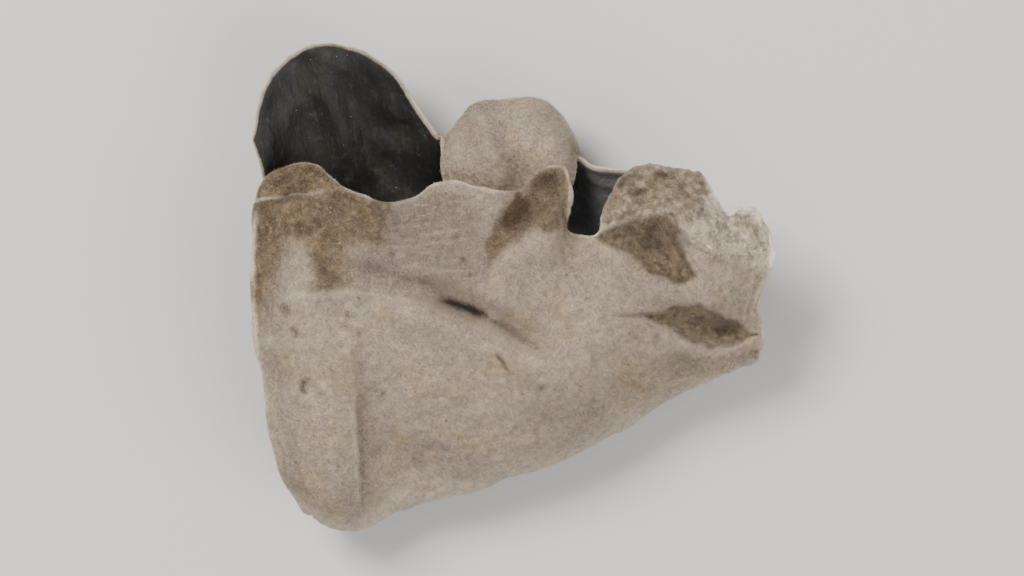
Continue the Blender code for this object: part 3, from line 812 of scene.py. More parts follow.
LIGHT_DOTS = [  # crumbs of bleached felt
    (-17.0, 4.2, 0.35), (-16.1, 3.7, 0.3), (-17.9, 3.1, 0.3), (-16.4, 2.4, 0.35), (-17.9, 1.2, 0.35),
    (-16.9, 0.6, 0.3), (-17.4, -0.4, 0.3), (-20.4, -4.7, 0.3), (-19.6, -3.6, 0.3), (-19.0, -4.8, 0.3),
    (-22.3, -4.4, 0.3), (-24.6, 0.8, 0.5), (-1.1, -3.0, 0.28), (-7.4, -5.0, 0.3), (0.4, -4.2, 0.25),
]
DOT_STRENGTH = dict(dark=0.7, light=0.4)


def dots(places, spots, strength):
    """Soft round dots on the front wall, seen from above."""
    total = np.zeros(places.shape[:-1])
    for x, y, radius in spots:
        gap = np.hypot(places[..., 0] - x, places[..., 1] - y)
        total += strength * np.exp(-((gap / radius) ** 2)) * in_front
    return total


dark = together(crisp, DARK_LINES) + dots(crisp, DARK_DOTS, DOT_STRENGTH["dark"])
light = together(crisp, LIGHT_LINES) + dots(crisp, LIGHT_DOTS, DOT_STRENGTH["light"])
print(len(DARK_DOTS), "dark dots and", len(LIGHT_DOTS), "light ones")

# %% The bleached rim, and how far the marks have worn off
RIM_REACH = (0.14, 0.5)  # where the rim starts to fade and where it ends
RIM_LIGHT = dict(felt=0.6, lobe=1.3, clotted=0.9)  # its strength; clotted felt takes that share away again


def patches(share, contrast, length, seed):
    """Soft patches from 0 to 1: about how much they cover, how sharp they are and how long their waves."""
    return ease(share + contrast * waves(points, length, seed))


crumbly = patches(share=0.6, contrast=0.9, length=0.9, seed=72)
worn = patches(share=0.5, contrast=0.9, length=1.6, seed=73) * (1 - lobe)
patchy = patches(share=0.75, contrast=0.5, length=2.2, seed=71) * (1 - lobe) + crumbly * lobe
on_lobe = RIM_LIGHT["lobe"] * lobe * (1 - RIM_LIGHT["clotted"] * clotted)
rim_light = 1 - ramp(margin, *RIM_REACH)
rim_light *= RIM_LIGHT["felt"] * worn + on_lobe * crumbly
light = np.clip(np.maximum(light * patchy, rim_light), 0, 1)
dark = np.clip(dark, 0, 1)
print("bleached:", round(100 * float((light > 0.5).mean()), 1), "% of the sheet")

# %% [markdown]
# ## Fine relief of the felt side
#
# What is left is smaller than a millimetre: the crisp drop into the two pockets, low growth ridges that
# follow the margin, a soft unevenness everywhere, and the grains of the right lobe. The drop lowers both
# faces, as a fold does. The rest moves only the felt side, along its normals. The smooth side gets branching
# wrinkles instead, because a thin dry skin puckers.

# %% Heights in millimetres
POCKET_DROP = dict(mouth=0.5, hollow=0.4)
UNEVEN = [(3.1, 0.16), (1.3, 0.07), (0.7, 0.035)]  # wave length and height
RING = dict(spacing=1.15, height=0.07, reach=5.0, clear=0.8)  # they come in over clear and fade over reach
RING_STRAY = dict(length=5.0, by=0.8)  # how a growth ridge strays from its distance to the margin

drop = -POCKET_DROP["mouth"] * mouth - POCKET_DROP["hollow"] * hollow
uneven = layered(felted, UNEVEN, seed=31)
strayed = margin + RING_STRAY["by"] * waves(felted, RING_STRAY["length"], seed=41)
rings = np.sin(2 * np.pi * strayed / RING["spacing"])
rings *= RING["height"] * np.exp(-margin / RING["reach"]) * ease(margin / RING["clear"])
print("uneven by up to", round(float(np.abs(uneven).max()), 2), "mm")

# %% Grains on the lobe, and puckers on the smooth side
GRAIN = dict(size=0.55, height=0.11, steep=1.5)
LEAST_MASK = 0.02  # below this no grain would show
PUCKER = [(4.2, 0.22), (1.9, 0.12)]  # wave length and height


def grains(grid, mask, size, steep):
    """Rounded grains of that size where the mask is not zero: 1 at a grain's top, 0 between grains."""
    heights = np.zeros(mask.shape)
    for r, c in zip(*np.nonzero(mask > LEAST_MASK)):
        distances, _ = noise.voronoi(Vector(grid[r, c] / size))
        heights[r, c] = 1 - min(distances[0] * steep, 1.0) ** 2
    return heights


def ridged(grid, length, seed):
    """Waves folded over at their middle, which gives branching ridges."""
    return 1 - 2 * np.abs(waves(grid, length, seed))


grain = grains(felted, lobe, GRAIN["size"], GRAIN["steep"]) * lobe
pucker = sum(height * ridged(smooth, length, 51 + i) for i, (length, height) in enumerate(PUCKER))
print("grains on", int((grain > 0.5).sum()), "points")

# %% [markdown]
# ## The cut where it grew on the wood
#
# A wood ear hangs on its log by a short neck. It was cut off there, so the underside has one small flat
# face, and the mushroom rests on it. The solid is pressed down to the table round that point in the same
# way, so the sheet here meets the same floor.

# %% Putting the heights together
SCAR = dict(x=-2.7, y=4.0, flat=4.4, foot=8.0, sink=2.8)
CRUMBLE = dict(length=0.8, height=0.26, reach=0.6)  # of the granular lobe's margin, within the sheet
EDGE_CALM = 1.2  # how far in from the margin the fine relief is whole

from_scar = np.hypot(xy[..., 0] - SCAR["x"], xy[..., 1] - SCAR["y"])
pull = (1 - ramp(from_scar, SCAR["flat"], SCAR["foot"])) * in_back
lift = lift + fine_lift + drop - SCAR["sink"] * pull

crumbling = along_margin(felted, **CRUMBLE, seed=81) * lobe
felted = felted + inward * crumbling[..., None]
smooth = smooth + inward * crumbling[..., None]

away_from_edge = ease(margin / EDGE_CALM)
felt_relief = (uneven + GRAIN["height"] * grain) * away_from_edge + rings
smooth_relief = pucker * away_from_edge * in_back * (1 - pull)
felted = felted + outward(felted) * felt_relief[..., None]
smooth = smooth - outward(smooth) * smooth_relief[..., None]
felted[..., 2] = np.maximum(felted[..., 2] + lift, 0.0)
smooth[..., 2] = np.maximum(smooth[..., 2] + lift, LEAST_THICK)
print("the flat cut has", int((felted[..., 2] == 0).sum()), "points and is", 2 * SCAR["flat"], "mm across")

# %% Home: the middle of the sheet over the middle of the solid
flat_points = felted.reshape(-1, 3)
middle = (flat_points.min(axis=0) + flat_points.max(axis=0)) / 2
home = middle - (solid_low + solid_high) / 2
home[2] = 0.0
print("moved by", np.round(-home, 2), "mm")

# %% [markdown]
# ## One closed mesh
#
# The felted face takes every point of the grid. The smooth face is calmer, so it takes every second one,
# which halves its cost in both directions. A strip round the margin joins the two: each of its cells has
# one edge on the smooth face and two on the felted face. The areas found above go along as attributes,
# which the materials read later.

# %% Vertices and faces
def loop_round(rows, columns):
    """The grid's border as (row, column) pairs, once round."""
    border = [(0, c) for c in range(columns)]
    border += [(r, columns) for r in range(rows)]
    border += [(rows, c) for c in range(columns, 0, -1)]
    border += [(r, 0) for r in range(rows, 0, -1)]
    return border


def grid_faces(index, flip):
    """Four-sided faces over a grid of vertex numbers."""
    corners = [index[:-1, :-1], index[1:, :-1], index[1:, 1:], index[:-1, 1:]]
    faces = np.stack(corners, axis=-1).reshape(-1, 4)
    return (faces[:, ::-1] if flip else faces).tolist()


def numbered(grid, first=0):
    """A vertex number for every point of a grid, counted from the first."""
    rows, columns = grid.shape[:2]
    return first + np.arange(rows * columns).reshape(rows, columns)


inner_points = smooth[::2, ::2]
outer = numbered(felted)
inner = numbered(inner_points, first=outer.size)
felt_faces = grid_faces(outer, flip=False)
smooth_faces = grid_faces(inner, flip=True)
outer_loop = [int(outer[place]) for place in loop_round(ROWS, COLUMNS)]
inner_loop = [int(inner[place]) for place in loop_round(ROWS // 2, COLUMNS // 2)]
rim_faces = []
for i, near in enumerate(inner_loop):
    following = inner_loop[(i + 1) % len(inner_loop)]
    first, second, third = (outer_loop[(2 * i + k) % len(outer_loop)] for k in range(3))
    rim_faces += [(first, second, near), (second, following, near), (second, third, following)]
print(len(felt_faces), "felt faces,", len(smooth_faces), "smooth faces and", len(rim_faces), "round the rim")

# %% The mesh, with its attributes
def attribute(mesh, name, values):
    """Gives the mesh a number for each vertex, by that name."""
    layer = mesh.attributes.new(name, "FLOAT", "POINT")
    layer.data.foreach_set("value", np.asarray(values, np.float32).ravel())


def both_faces(field):
    """One of the grid's fields for the felted face's vertices, followed by the smooth face's."""
    field = np.broadcast_to(field, margin.shape)
    return np.concatenate([field.ravel(), field[::2, ::2].ravel()])


# The pockets, and the valley in part, carry painted shade.
VALLEY_POCKET_SHADE = 0.6  # how much the valley looks like the two pockets
pocket_shade = np.max([mouth, hollow, VALLEY_POCKET_SHADE * valley], axis=0)
FIELDS = dict(
    margin=margin, brown=brown, pocket_shade=pocket_shade, grey=grey, scar=pull, light=light, dark=dark,
    lobe=lobe, grain=grain, clotted=clotted, notch_light=notch_light,
)
vertices = np.concatenate([(felted - home).reshape(-1, 3), (inner_points - home).reshape(-1, 3)]) * MM
mesh = bpy.data.meshes.new("wood_ear_flesh")
mesh.from_pydata(vertices.tolist(), [], felt_faces + smooth_faces + rim_faces)
for name, field in FIELDS.items():
    attribute(mesh, name, both_faces(field))
mesh.update()
mesh.shade_smooth()
ear = bpy.data.objects.new("wood_ear_flesh", mesh)
bpy.context.scene.collection.objects.link(ear)
triangles = sum(len(face.vertices) - 2 for face in mesh.polygons)
print("the ear has", triangles, "triangles")

# %% The way along and across the sheet, as a UV map
uv_grid = np.stack(np.broadcast_arrays(along[None, :], across[:, None]), axis=-1)
uv_all = np.concatenate([uv_grid.reshape(-1, 2), uv_grid[::2, ::2].reshape(-1, 2)])
uv_layer = mesh.uv_layers.new(name="sheet")
corner_vertices = np.empty(len(mesh.loops), np.int32)
mesh.loops.foreach_get("vertex_index", corner_vertices)
uv_layer.data.foreach_set("uv", uv_all[corner_vertices].astype(np.float32).ravel())
print("UV map laid along the sheet")

# %% [markdown]
# ## Writing materials as expressions
#
# A node material soon becomes a list of links that nobody can read. The two small classes below let it be
# written as arithmetic instead. A Wire stands for one output socket, and `a * b + 1` on wires adds the Math
# nodes that it needs. A Recipe holds the node tree, and its `node` method adds any other node.

# %% Wire: a socket to reckon with
class Wire:
    """An output socket that Python's operators work on."""

    def __init__(self, recipe, socket):
        self.recipe, self.socket = recipe, socket

    def math(self, operation, *values, clamp=False):
        """A Math node's output, for values that are numbers or wires."""
        settings = dict(operation=operation, use_clamp=clamp)
        return self.recipe.node("ShaderNodeMath", settings, dict(enumerate(values)))

    def __add__(self, other):
        return self.math("ADD", self, other)

    def __sub__(self, other):
        return self.math("SUBTRACT", self, other)

    def __rsub__(self, other):
        return self.math("SUBTRACT", other, self)

    def __mul__(self, other):
        return self.math("MULTIPLY", self, other)

    __radd__ = __add__
    __rmul__ = __mul__

    def clamped(self):
        """The same value, held between 0 and 1."""
        return self.math("ADD", self, 0.0, clamp=True)

    def step(self, low, high):
        """A smooth step: 0 at low, 1 at high."""
        settings = dict(interpolation_type="SMOOTHSTEP")
        return self.recipe.node("ShaderNodeMapRange", settings, {0: self, 1: low, 2: high})


print("wires can be added, subtracted and multiplied")


# %% Recipe: a material's nodes
class Recipe:
    """A material's node tree, with one method that adds a node of any type."""

    def __init__(self, name):
        self.material = bpy.data.materials.new(name)
        self.material.use_nodes = True
        self.tree = self.material.node_tree
        self.shader = self.tree.nodes["Principled BSDF"]

    def node(self, kind, settings=None, inputs=None, output=0):
        """Adds a node of that type, gives it its settings and inputs, and returns one output as a Wire."""
        node = self.tree.nodes.new(kind)
        for name, value in (settings or {}).items():
            setattr(node, name, value)
        for name, value in (inputs or {}).items():
            self.set(node.inputs[name], value)
        return Wire(self, node.outputs[output])

    def set(self, socket, value):
        """Links a Wire to the socket, or writes a plain value on it."""
        if isinstance(value, Wire):
            self.tree.links.new(value.socket, socket)
        else:
            socket.default_value = value

    def finish(self, inputs):
        """Gives the shader its inputs, by name, and returns the material."""
        for name, value in inputs.items():
            self.set(self.shader.inputs[name], value)
        return self.material

    def place(self):
        """Object coordinates, in millimetres."""
        return self.scaled(self.node("ShaderNodeTexCoord", output="Object"), 1 / MM)

    def scaled(self, vector, factor):
        """A place or a colour, times a number."""
        return self.node("ShaderNodeVectorMath", dict(operation="SCALE"), {0: vector, "Scale": factor})

    def stretched(self, place, factors):
        """The same places, drawn out: a pattern read there is longer where the factor is small."""
        return self.node("ShaderNodeVectorMath", dict(operation="MULTIPLY"), {0: place, 1: factors})

    def field(self, name):
        """One of the mesh's attributes."""
        return self.node("ShaderNodeAttribute", dict(attribute_name=name), output="Fac")

    def noise(self, place, size, detail=2.0, roughness=0.5, seed=0.0):
        """Smooth noise from 0 to 1 whose blobs are about that many millimetres across."""
        inputs = {"Vector": place, "W": seed, "Scale": 1 / size, "Detail": detail, "Roughness": roughness}
        return self.node("ShaderNodeTexNoise", dict(noise_dimensions="4D"), inputs)

    def cells(self, place, size):
        """Distance to the middle of the nearest cell, in a pattern of cells that many millimetres wide."""
        return self.node("ShaderNodeTexVoronoi", inputs={"Vector": place, "Scale": 1 / size})

    def mix(self, share, first, second):
        """Two colours mixed: first where share is 0, second where it is 1."""
        settings = dict(data_type="RGBA", clamp_factor=True)
        return self.node("ShaderNodeMix", settings, {0: share, 6: first, 7: second}, output=2)

    def bump(self, height, depth, strength=1.0, normal=None):
        """A Bump node for a height from 0 to 1 that stands for that many millimetres."""
        inputs = {"Height": height, "Distance": depth * MM, "Strength": strength}
        if normal:
            inputs["Normal"] = normal
        return self.node("ShaderNodeBump", inputs=inputs)


print("materials can be written as expressions")


# %% Paint
def linear(value):
    """A paint program's value, from 0 to 255, as the linear value that shaders use: the sRGB curve."""
    value /= 255
    return value / 12.92 if value <= 0.04045 else ((value + 0.055) / 1.055) ** 2.4


def paint(red, green, blue):
    """A colour as a paint program gives it, as shaders use it."""
    return (linear(red), linear(green), linear(blue), 1.0)


print("mid grey is", round(paint(128, 128, 128)[0], 3), "to a shader")

# %% [markdown]
# ## The felt's colour
#
# Under a lens the felt is a warm grey that turns a little pink, a little olive and a little ochre from one
# millimetre to the next. Brown stains sit in the folds, with painted shade in the deeper ones, the margin is
# bleached almost white, and the odd dark fleck is a crumb of bark or a place where the hairs are gone.
# Painted highlights and painted shade lie over it as light and dark marks. The same function colours the
# skin under the hairs and the hairs themselves, so they never differ where they meet.

# %% Paints
PALE = paint(161, 145, 127)
PINKISH = paint(151, 135, 121)
OLIVE = paint(151, 141, 119)
OCHRE = paint(163, 141, 111)
GREY = paint(119, 105, 96)
STAIN = paint(113, 96, 71)
STAIN_DARK = paint(88, 74, 55)
STAIN_LIGHT = paint(148, 130, 101)
RUST = paint(131, 110, 79)
# Painted shade in the pockets.
POCKET_SHADE = paint(116, 102, 82)
CRUST = paint(107, 91, 73)
CRUST_LIGHT = paint(200, 186, 168)
CRUMB = paint(188, 171, 150)
BLEACHED = paint(224, 211, 189)
# Bleached marks as they look under the painted shade in the pockets.
BLEACHED_IN_SHADE = paint(188, 158, 126)
# Dark flecks, and the dark marks: cracks and painted shade.
FLECK = paint(66, 54, 45)
DEEP_STAIN_AND_SHADE = paint(66, 50, 33)
TORN = paint(142, 122, 94)  # flesh at the cut
print("felt paints are ready")


# %% Clean felt and stained felt
def clean_felt(recipe, place, patch):
    """Warm grey felt that nothing has stained; patch is noise with blobs of a few millimetres."""
    broad = recipe.noise(place, 6.5, 2.0, seed=1.0)
    slow = recipe.noise(place, 3.6, 2.0, seed=4.0)
    lines = recipe.noise(recipe.stretched(place, (0.22, 1.0, 0.6)), 0.6, 2.0, 0.5, seed=15.0)
    grey = recipe.field("grey")
    colour = recipe.mix(broad.step(0.42, 0.62), PALE, PINKISH)
    colour = recipe.mix(patch.step(0.5, 0.68) * 0.7, colour, OLIVE)
    colour = recipe.mix(slow.step(0.52, 0.7) * 0.6, colour, OCHRE)
    # Greyer felt in the grey band, part of it a painted shadow over the middle crease.
    colour = recipe.mix(grey * 0.8, colour, GREY)
    return recipe.mix(grey * lines.step(0.5, 0.66) * 0.4, colour, PALE)


def stained_felt(recipe, place, patch, fine, flecks):
    """Brown felt of stains where moisture dried last and of painted shade, darker in the pockets."""
    blots = recipe.noise(place, 1.0, 2.0, seed=14.0)
    pocket_shade = recipe.field("pocket_shade")
    stain = recipe.mix(patch.step(0.38, 0.62), STAIN, STAIN_DARK)
    stain = recipe.mix(blots.step(0.52, 0.68) * 0.5, stain, RUST)
    # The pockets get painted shade: a darker tint and more dark flecks.
    stain = recipe.mix(pocket_shade * 0.7, stain, POCKET_SHADE)
    stain = recipe.mix(fine.step(0.52, 0.72) * 0.45, stain, STAIN_LIGHT)
    stain = recipe.mix(blots.step(0.48, 0.34) * (0.15 + 0.5 * pocket_shade), stain, FLECK)
    return recipe.mix(flecks.step(0.5, 0.36) * 0.4, stain, FLECK)


print("clean and stained felt can be mixed")


# %% The lobe's crust, and specks
def crusted_felt(recipe, place, patch, flecks):
    """The granular lobe's felt: brown where it has clotted, pale and crumbly elsewhere."""
    grain = recipe.field("grain").step(0.2, 0.85)
    clotted = recipe.field("clotted")
    crumbs = recipe.noise(place, 0.9, 2.0, 0.6, seed=16.0)
    crust = recipe.mix(clotted * 0.9, CRUST_LIGHT, CRUST)
    crust = recipe.mix(patch.step(0.46, 0.64) * 0.45, crust, STAIN_LIGHT)
    # Painted shade between the grains, where a grain's height is low.
    crust = recipe.mix((1 - grain) * 0.3, crust, STAIN)
    crust = recipe.mix(crumbs.step(0.5, 0.64) * (0.8 - 0.3 * clotted), crust, CRUMB)
    crust = recipe.mix(crumbs.step(0.48, 0.38) * (0.5 + 0.2 * clotted), crust, STAIN_DARK)
    return recipe.mix(flecks.step(0.53, 0.66) * (0.8 - 0.75 * clotted), crust, BLEACHED)


def specks(recipe, place, spacing, fade, patch_size, patch_steps, seed):
    """Round specks, at the most one to a cell, only in patches where slow noise is high."""
    patches = recipe.noise(place, patch_size, seed=seed)
    return recipe.cells(place, spacing).step(*fade) * patches.step(*patch_steps)


print("the crust and the specks can be mixed")

# %% The felt's colour, and the marks on it
MARK_COVER = 0.85  # how much of the felt a full mark hides


def marked_felt(recipe, place, colour):
    """The colour with the light and dark marks over it, some painted light and shade, a little broken up."""
    broken = 0.5 + recipe.noise(place, 0.7, 2.0, seed=7.0)
    # In the pockets the light marks are darker, under their painted shade.
    worn = recipe.mix(recipe.field("pocket_shade"), BLEACHED, BLEACHED_IN_SHADE)
    # The dark marks, cracks and painted shade, are browner on brown felt.
    deep = recipe.mix(recipe.field("brown"), FLECK, DEEP_STAIN_AND_SHADE)
    colour = recipe.mix((recipe.field("light") * broken).clamped() * MARK_COVER, colour, worn)
    return recipe.mix((recipe.field("dark") * broken).clamped() * MARK_COVER, colour, deep)


def felt_colour(recipe, place):
    """The felt's colour at a place, from noise and from the areas that the mesh carries."""
    patch = recipe.noise(place, 2.4, 3.0, seed=2.0)
    fine = recipe.noise(place, 0.55, 3.0, 0.65, seed=3.0)
    flecks = recipe.noise(place, 0.6, 3.0, 0.7, seed=13.0)
    # Brown: stains, and painted shade in the valley, the pockets and at the rolled lip's foot.
    brown = recipe.field("brown") * (0.6 + 0.75 * recipe.noise(place, 1.3, 3.0, 0.6, seed=5.0))
    bark = specks(recipe, place, 1.7, (0.13, 0.05), 3.0, (0.5, 0.6), seed=6.0)
    crumb = specks(recipe, place, 1.3, (0.1, 0.04), 4.0, (0.52, 0.62), seed=12.0)
    tone = 0.62 + 0.3 * fine.step(0.36, 0.64) + 0.44 * recipe.noise(place, 1.5, 3.0, 0.6, seed=17.0)
    colour = clean_felt(recipe, place, patch)
    colour = recipe.mix(brown.clamped(), colour, stained_felt(recipe, place, patch, fine, flecks))
    colour = recipe.mix(recipe.field("lobe") * 0.85, colour, crusted_felt(recipe, place, patch, flecks))
    colour = recipe.mix(bark * 0.6, colour, FLECK)
    colour = recipe.mix(crumb * 0.5, colour, BLEACHED)
    return marked_felt(recipe, place, recipe.scaled(colour, tone))


print("the felt's colour is one function, for skin and hairs")


# %% The felt's material
def torn_felt(recipe, place, colour):
    """The colour with bare fibres over it where the mushroom was cut off, out to a ragged edge."""
    ragged = recipe.noise(place, 2.6, 4.0, 0.6, seed=18.0)
    fibres = recipe.noise(place, 0.7, 5.0, 0.7, seed=8.0)
    scar = recipe.field("scar") - 0.7 * ragged
    torn = recipe.mix(fibres.step(0.36, 0.68), STAIN_DARK, TORN)
    torn = recipe.mix(ragged.step(0.54, 0.36) * 0.6, torn, FLECK)
    torn = recipe.mix(scar.step(0.56, 0.4) * 0.7, torn, STAIN_DARK)
    return recipe.mix(scar.step(0.3, 0.44), colour, torn)


def felt_material():
    """The skin under the felt, matt and slightly furry."""
    recipe = Recipe("felt")
    place = recipe.place()
    nap = recipe.noise(place, 0.16, 2.0, 0.6, seed=9.0)
    clots = recipe.noise(place, 0.6, 2.0, 0.5, seed=10.0)
    return recipe.finish({
        "Base Color": torn_felt(recipe, place, felt_colour(recipe, place)),
        "Roughness": 0.88 + 0.1 * nap,
        "Normal": recipe.bump(nap, 0.07, 0.8, recipe.bump(clots, 0.16, 0.6)),
        "Specular IOR Level": 0.2,
        "Sheen Weight": 0.25,
        "Sheen Roughness": 0.6,
        "Sheen Tint": (0.9, 0.85, 0.78, 1.0),
    })


felt = felt_material()
print("felt:", len(felt.node_tree.nodes), "nodes")

# %% [markdown]
# ## The smooth inside
#
# The spore-bearing side dries to a satin black-brown, like old leather, with fine streaks along it, a greyish
# bloom of spores that gathers in patches, and specks of dust. Its very edge is pale, where the felt of the
# other side shows past it. Where it is seen through the notch it lies in shade, and there it is painted
# lighter.

# %% The smooth side's material
BLACK = paint(22, 21, 19)
BROWN_BLACK = paint(37, 32, 26)
BLOOM = paint(78, 78, 74)
# Painted light for the inside where it shows through the notch, in shade.
PAINTED_LIGHT_INSIDE = paint(108, 106, 104)
DUST = paint(150, 145, 136)
RIM = paint(166, 154, 140)


def smooth_material():
    """Satin black-brown skin with a grey bloom, painted lighter where it shows through the notch."""
    recipe = Recipe("smooth_skin")
    place = recipe.place()
    sheet = recipe.node("ShaderNodeUVMap", dict(uv_map="sheet"))
    streaks = recipe.noise(recipe.stretched(sheet, (90.0, 40.0, 1.0)), 1.0, 4.0, 0.65, seed=5.0)
    broad = recipe.noise(place, 5.0, 3.0, seed=1.0)
    bloom = recipe.noise(place, 1.1, 4.0, 0.7, seed=2.0)
    colour = recipe.mix(broad.step(0.4, 0.65), BLACK, BROWN_BLACK)
    colour = recipe.mix(streaks.step(0.52, 0.72) * 0.2, colour, BLOOM)
    colour = recipe.mix(bloom.step(0.5, 0.75) * broad.step(0.35, 0.6) * 0.5, colour, BLOOM)
    # Painted light where the inside shows through the notch and lies in shade.
    colour = recipe.mix(recipe.field("notch_light") * (0.5 + 0.8 * bloom), colour, PAINTED_LIGHT_INSIDE)
    dust = specks(recipe, place, 0.9, (0.09, 0.04), 2.2, (0.52, 0.6), seed=3.0)
    colour = recipe.mix(dust * 0.8, colour, DUST)
    edge = (recipe.field("margin") + 0.25 * (1 - bloom)).step(0.4, 0.14)
    rim = recipe.mix(recipe.noise(place, 2.6, 3.0, 0.6, seed=6.0).step(0.47, 0.62) * 0.7, RIM, STAIN_LIGHT)
    colour = recipe.mix(edge * (0.4 + 0.7 * bloom), colour, rim)
    leather = recipe.noise(place, 0.5, 3.0, 0.6, seed=4.0)
    return recipe.finish({
        "Base Color": colour,
        "Roughness": 0.42 + 0.3 * bloom + 0.3 * edge,
        "Normal": recipe.bump(leather, 0.08, 0.7, recipe.bump(streaks, 0.25, 0.6)),
        "Specular IOR Level": 0.35,
    })


smooth_skin = smooth_material()
mesh.materials.append(felt)
mesh.materials.append(smooth_skin)
slots = np.zeros(len(mesh.polygons), np.int32)
slots[len(felt_faces):len(felt_faces) + len(smooth_faces)] = 1
mesh.polygons.foreach_set("material_index", slots)
print("smooth side:", len(smooth_skin.node_tree.nodes), "nodes")

# %% [markdown]
# ## The felt itself
#
# A bump map cannot give the soft outline of a felted surface, so the hairs are real: each a thin closed
# spike with three sides. There are far too many to place by hand. Geometry Nodes scatter points over the
# skin, put a spike on each, lean it along the nap with some chance in it, and join everything into a mesh.
# The number of spikes is what a computer can bear; the real felt is denser still.

# %% The hair tree's inputs
TREE_INPUTS = [  # name, kind of socket, and what it holds until a piece sets it
    ("Skin", "Geometry", None),
    ("Hairs per square millimetre", "Float", 60.0),
    ("Length", "Float", 0.4),
    ("Thickness", "Float", 0.05),
    ("Scatter", "Float", 0.5),
    ("Seed", "Int", 1),
    ("Material", "Material", None),
]


def hair_tree():
    """An empty Geometry Nodes tree with those inputs, which gives back hairs."""
    tree = bpy.data.node_groups.new("felt_hairs", "GeometryNodeTree")
    face = tree.interface
    for name, kind, default in TREE_INPUTS:
        socket = face.new_socket(name, in_out="INPUT", socket_type="NodeSocket" + kind)
        if default is not None:
            socket.default_value = default
    face.new_socket("Hairs", in_out="OUTPUT", socket_type="NodeSocketGeometry")
    return tree


def add_node(tree, kind, settings=None, inputs=None):
    """Adds a node with its settings, and with a value or a link for each of the inputs named."""
    node = tree.nodes.new(kind)
    for name, value in (settings or {}).items():
        setattr(node, name, value)
    for name, value in (inputs or {}).items():
        if isinstance(value, bpy.types.NodeSocket):
            tree.links.new(value, node.inputs[name])
        else:
            node.inputs[name].default_value = value
    return node


felt_hairs = hair_tree()
print("the hair tree takes", len(TREE_INPUTS), "inputs")

# %% The hair tree's nodes
SPIKE = {"Vertices": 3, "Side Segments": 1, "Radius Top": 0.0, "Radius Bottom": 0.5, "Depth": 1.0}
ANY_WAY = {"Min": (-1.0, -1.0, -1.0), "Max": (1.0, 1.0, 1.0)}
HAIR_GROWTH = {2: 0.55, 3: 1.25}  # least and most of the full length, on the node's third and fourth sockets


def grow(tree):
    """Fills the tree: scatter, spike, lean, size, realize, material."""
    def add(kind, settings=None, inputs=None):
        return add_node(tree, kind, settings, inputs)

    def carried(name, kind="FLOAT"):
        """A field that the skin carries, by name."""
        return add("GeometryNodeInputNamedAttribute", dict(data_type=kind), {"Name": name}).outputs[0]

    def times(first, second):
        return add("ShaderNodeMath", dict(operation="MULTIPLY"), {0: first, 1: second}).outputs[0]

    def scaled(vector, factor):
        settings = dict(operation="SCALE")
        return add("ShaderNodeVectorMath", settings, {0: vector, "Scale": factor}).outputs[0]

    given = add("NodeGroupInput").outputs
    per_metre = times(given["Hairs per square millimetre"], 1 / MM**2)
    scatter = add(
        "GeometryNodeDistributePointsOnFaces", dict(distribute_method="RANDOM"),
        {"Mesh": given["Skin"], "Density": times(per_metre, carried("nap")), "Seed": given["Seed"]},
    )
    spike = add("GeometryNodeMeshCone", dict(fill_type="NGON"), SPIKE)
    position = add("GeometryNodeInputPosition").outputs[0]
    height = add("ShaderNodeSeparateXYZ", inputs={0: position}).outputs["Z"]
    tip = add(
        "GeometryNodeStoreNamedAttribute", dict(data_type="FLOAT", domain="POINT"),
        {"Geometry": spike.outputs["Mesh"], "Name": "tip", "Value": height},
    )
    chance = add(
        "FunctionNodeRandomValue", dict(data_type="FLOAT_VECTOR"), {**ANY_WAY, "Seed": given["Seed"]},
    ).outputs[0]
    leaning = scaled(chance, given["Scatter"])
    nap_way = carried("lay", "FLOAT_VECTOR")
    heading = add("ShaderNodeVectorMath", dict(operation="ADD"), {0: nap_way, 1: leaning}).outputs[0]
    turn = add("FunctionNodeAlignRotationToVector", dict(axis="Z"), {"Vector": heading}).outputs[0]
    growth = add(
        "FunctionNodeRandomValue", dict(data_type="FLOAT"), {**HAIR_GROWTH, "Seed": given["Seed"]},
    ).outputs[1]
    length = times(times(growth, carried("long")), given["Length"])
    size = add("ShaderNodeCombineXYZ", inputs={0: given["Thickness"], 1: given["Thickness"], 2: length})
    hairs = add("GeometryNodeInstanceOnPoints", inputs={
        "Points": scatter.outputs["Points"],
        "Instance": tip.outputs[0],
        "Rotation": turn,
        "Scale": scaled(size.outputs[0], MM),
    })
    real = add("GeometryNodeRealizeInstances", inputs={"Geometry": hairs.outputs[0]}).outputs[0]
    dyed = add("GeometryNodeSetMaterial", inputs={"Geometry": real, "Material": given["Material"]})
    tree.links.new(dyed.outputs[0], add("NodeGroupOutput").inputs[0])


grow(felt_hairs)
print("hair tree:", len(felt_hairs.nodes), "nodes")

# %% [markdown]
# ## Where the hairs grow, and which way they lie
#
# The nap is full on the front wall and the rolled lip, thin on the wall that lies on the table, and gone
# where it would be crushed. On the granular lobe it clots into tufts, with shorter hairs between them. Hairs
# on a hanging bracket all point down and outwards, so they lie one way across the sheet, towards the front
# wall's margin, stirred by slow noise.

# %% Nap, length and lie of the hairs
NAP_CLEAR = (0.9, 2.0)  # heights above the table between which the nap comes in
LIP_CLEAR = (5.0, 8.0)  # and between which it becomes full on the back wall's rolled lip
BACK_NAP = 0.35  # of the full nap, on the rest of the back wall
BALD = dict(mouth=0.6, margin=0.25)  # how much the mouth loses, and how far in the margin is bald
SHORTER = dict(on_grain=0.1, between=0.35, margin=0.35, reach=1.5)  # hairs are shorter by these
TUFT = 0.35  # a grain that is higher than this carries a tuft
LEAN = 0.55  # how far the hairs lean over
STIR = dict(length=4.0, back=0.3, aside=0.8)  # how slow noise turns them back and aside

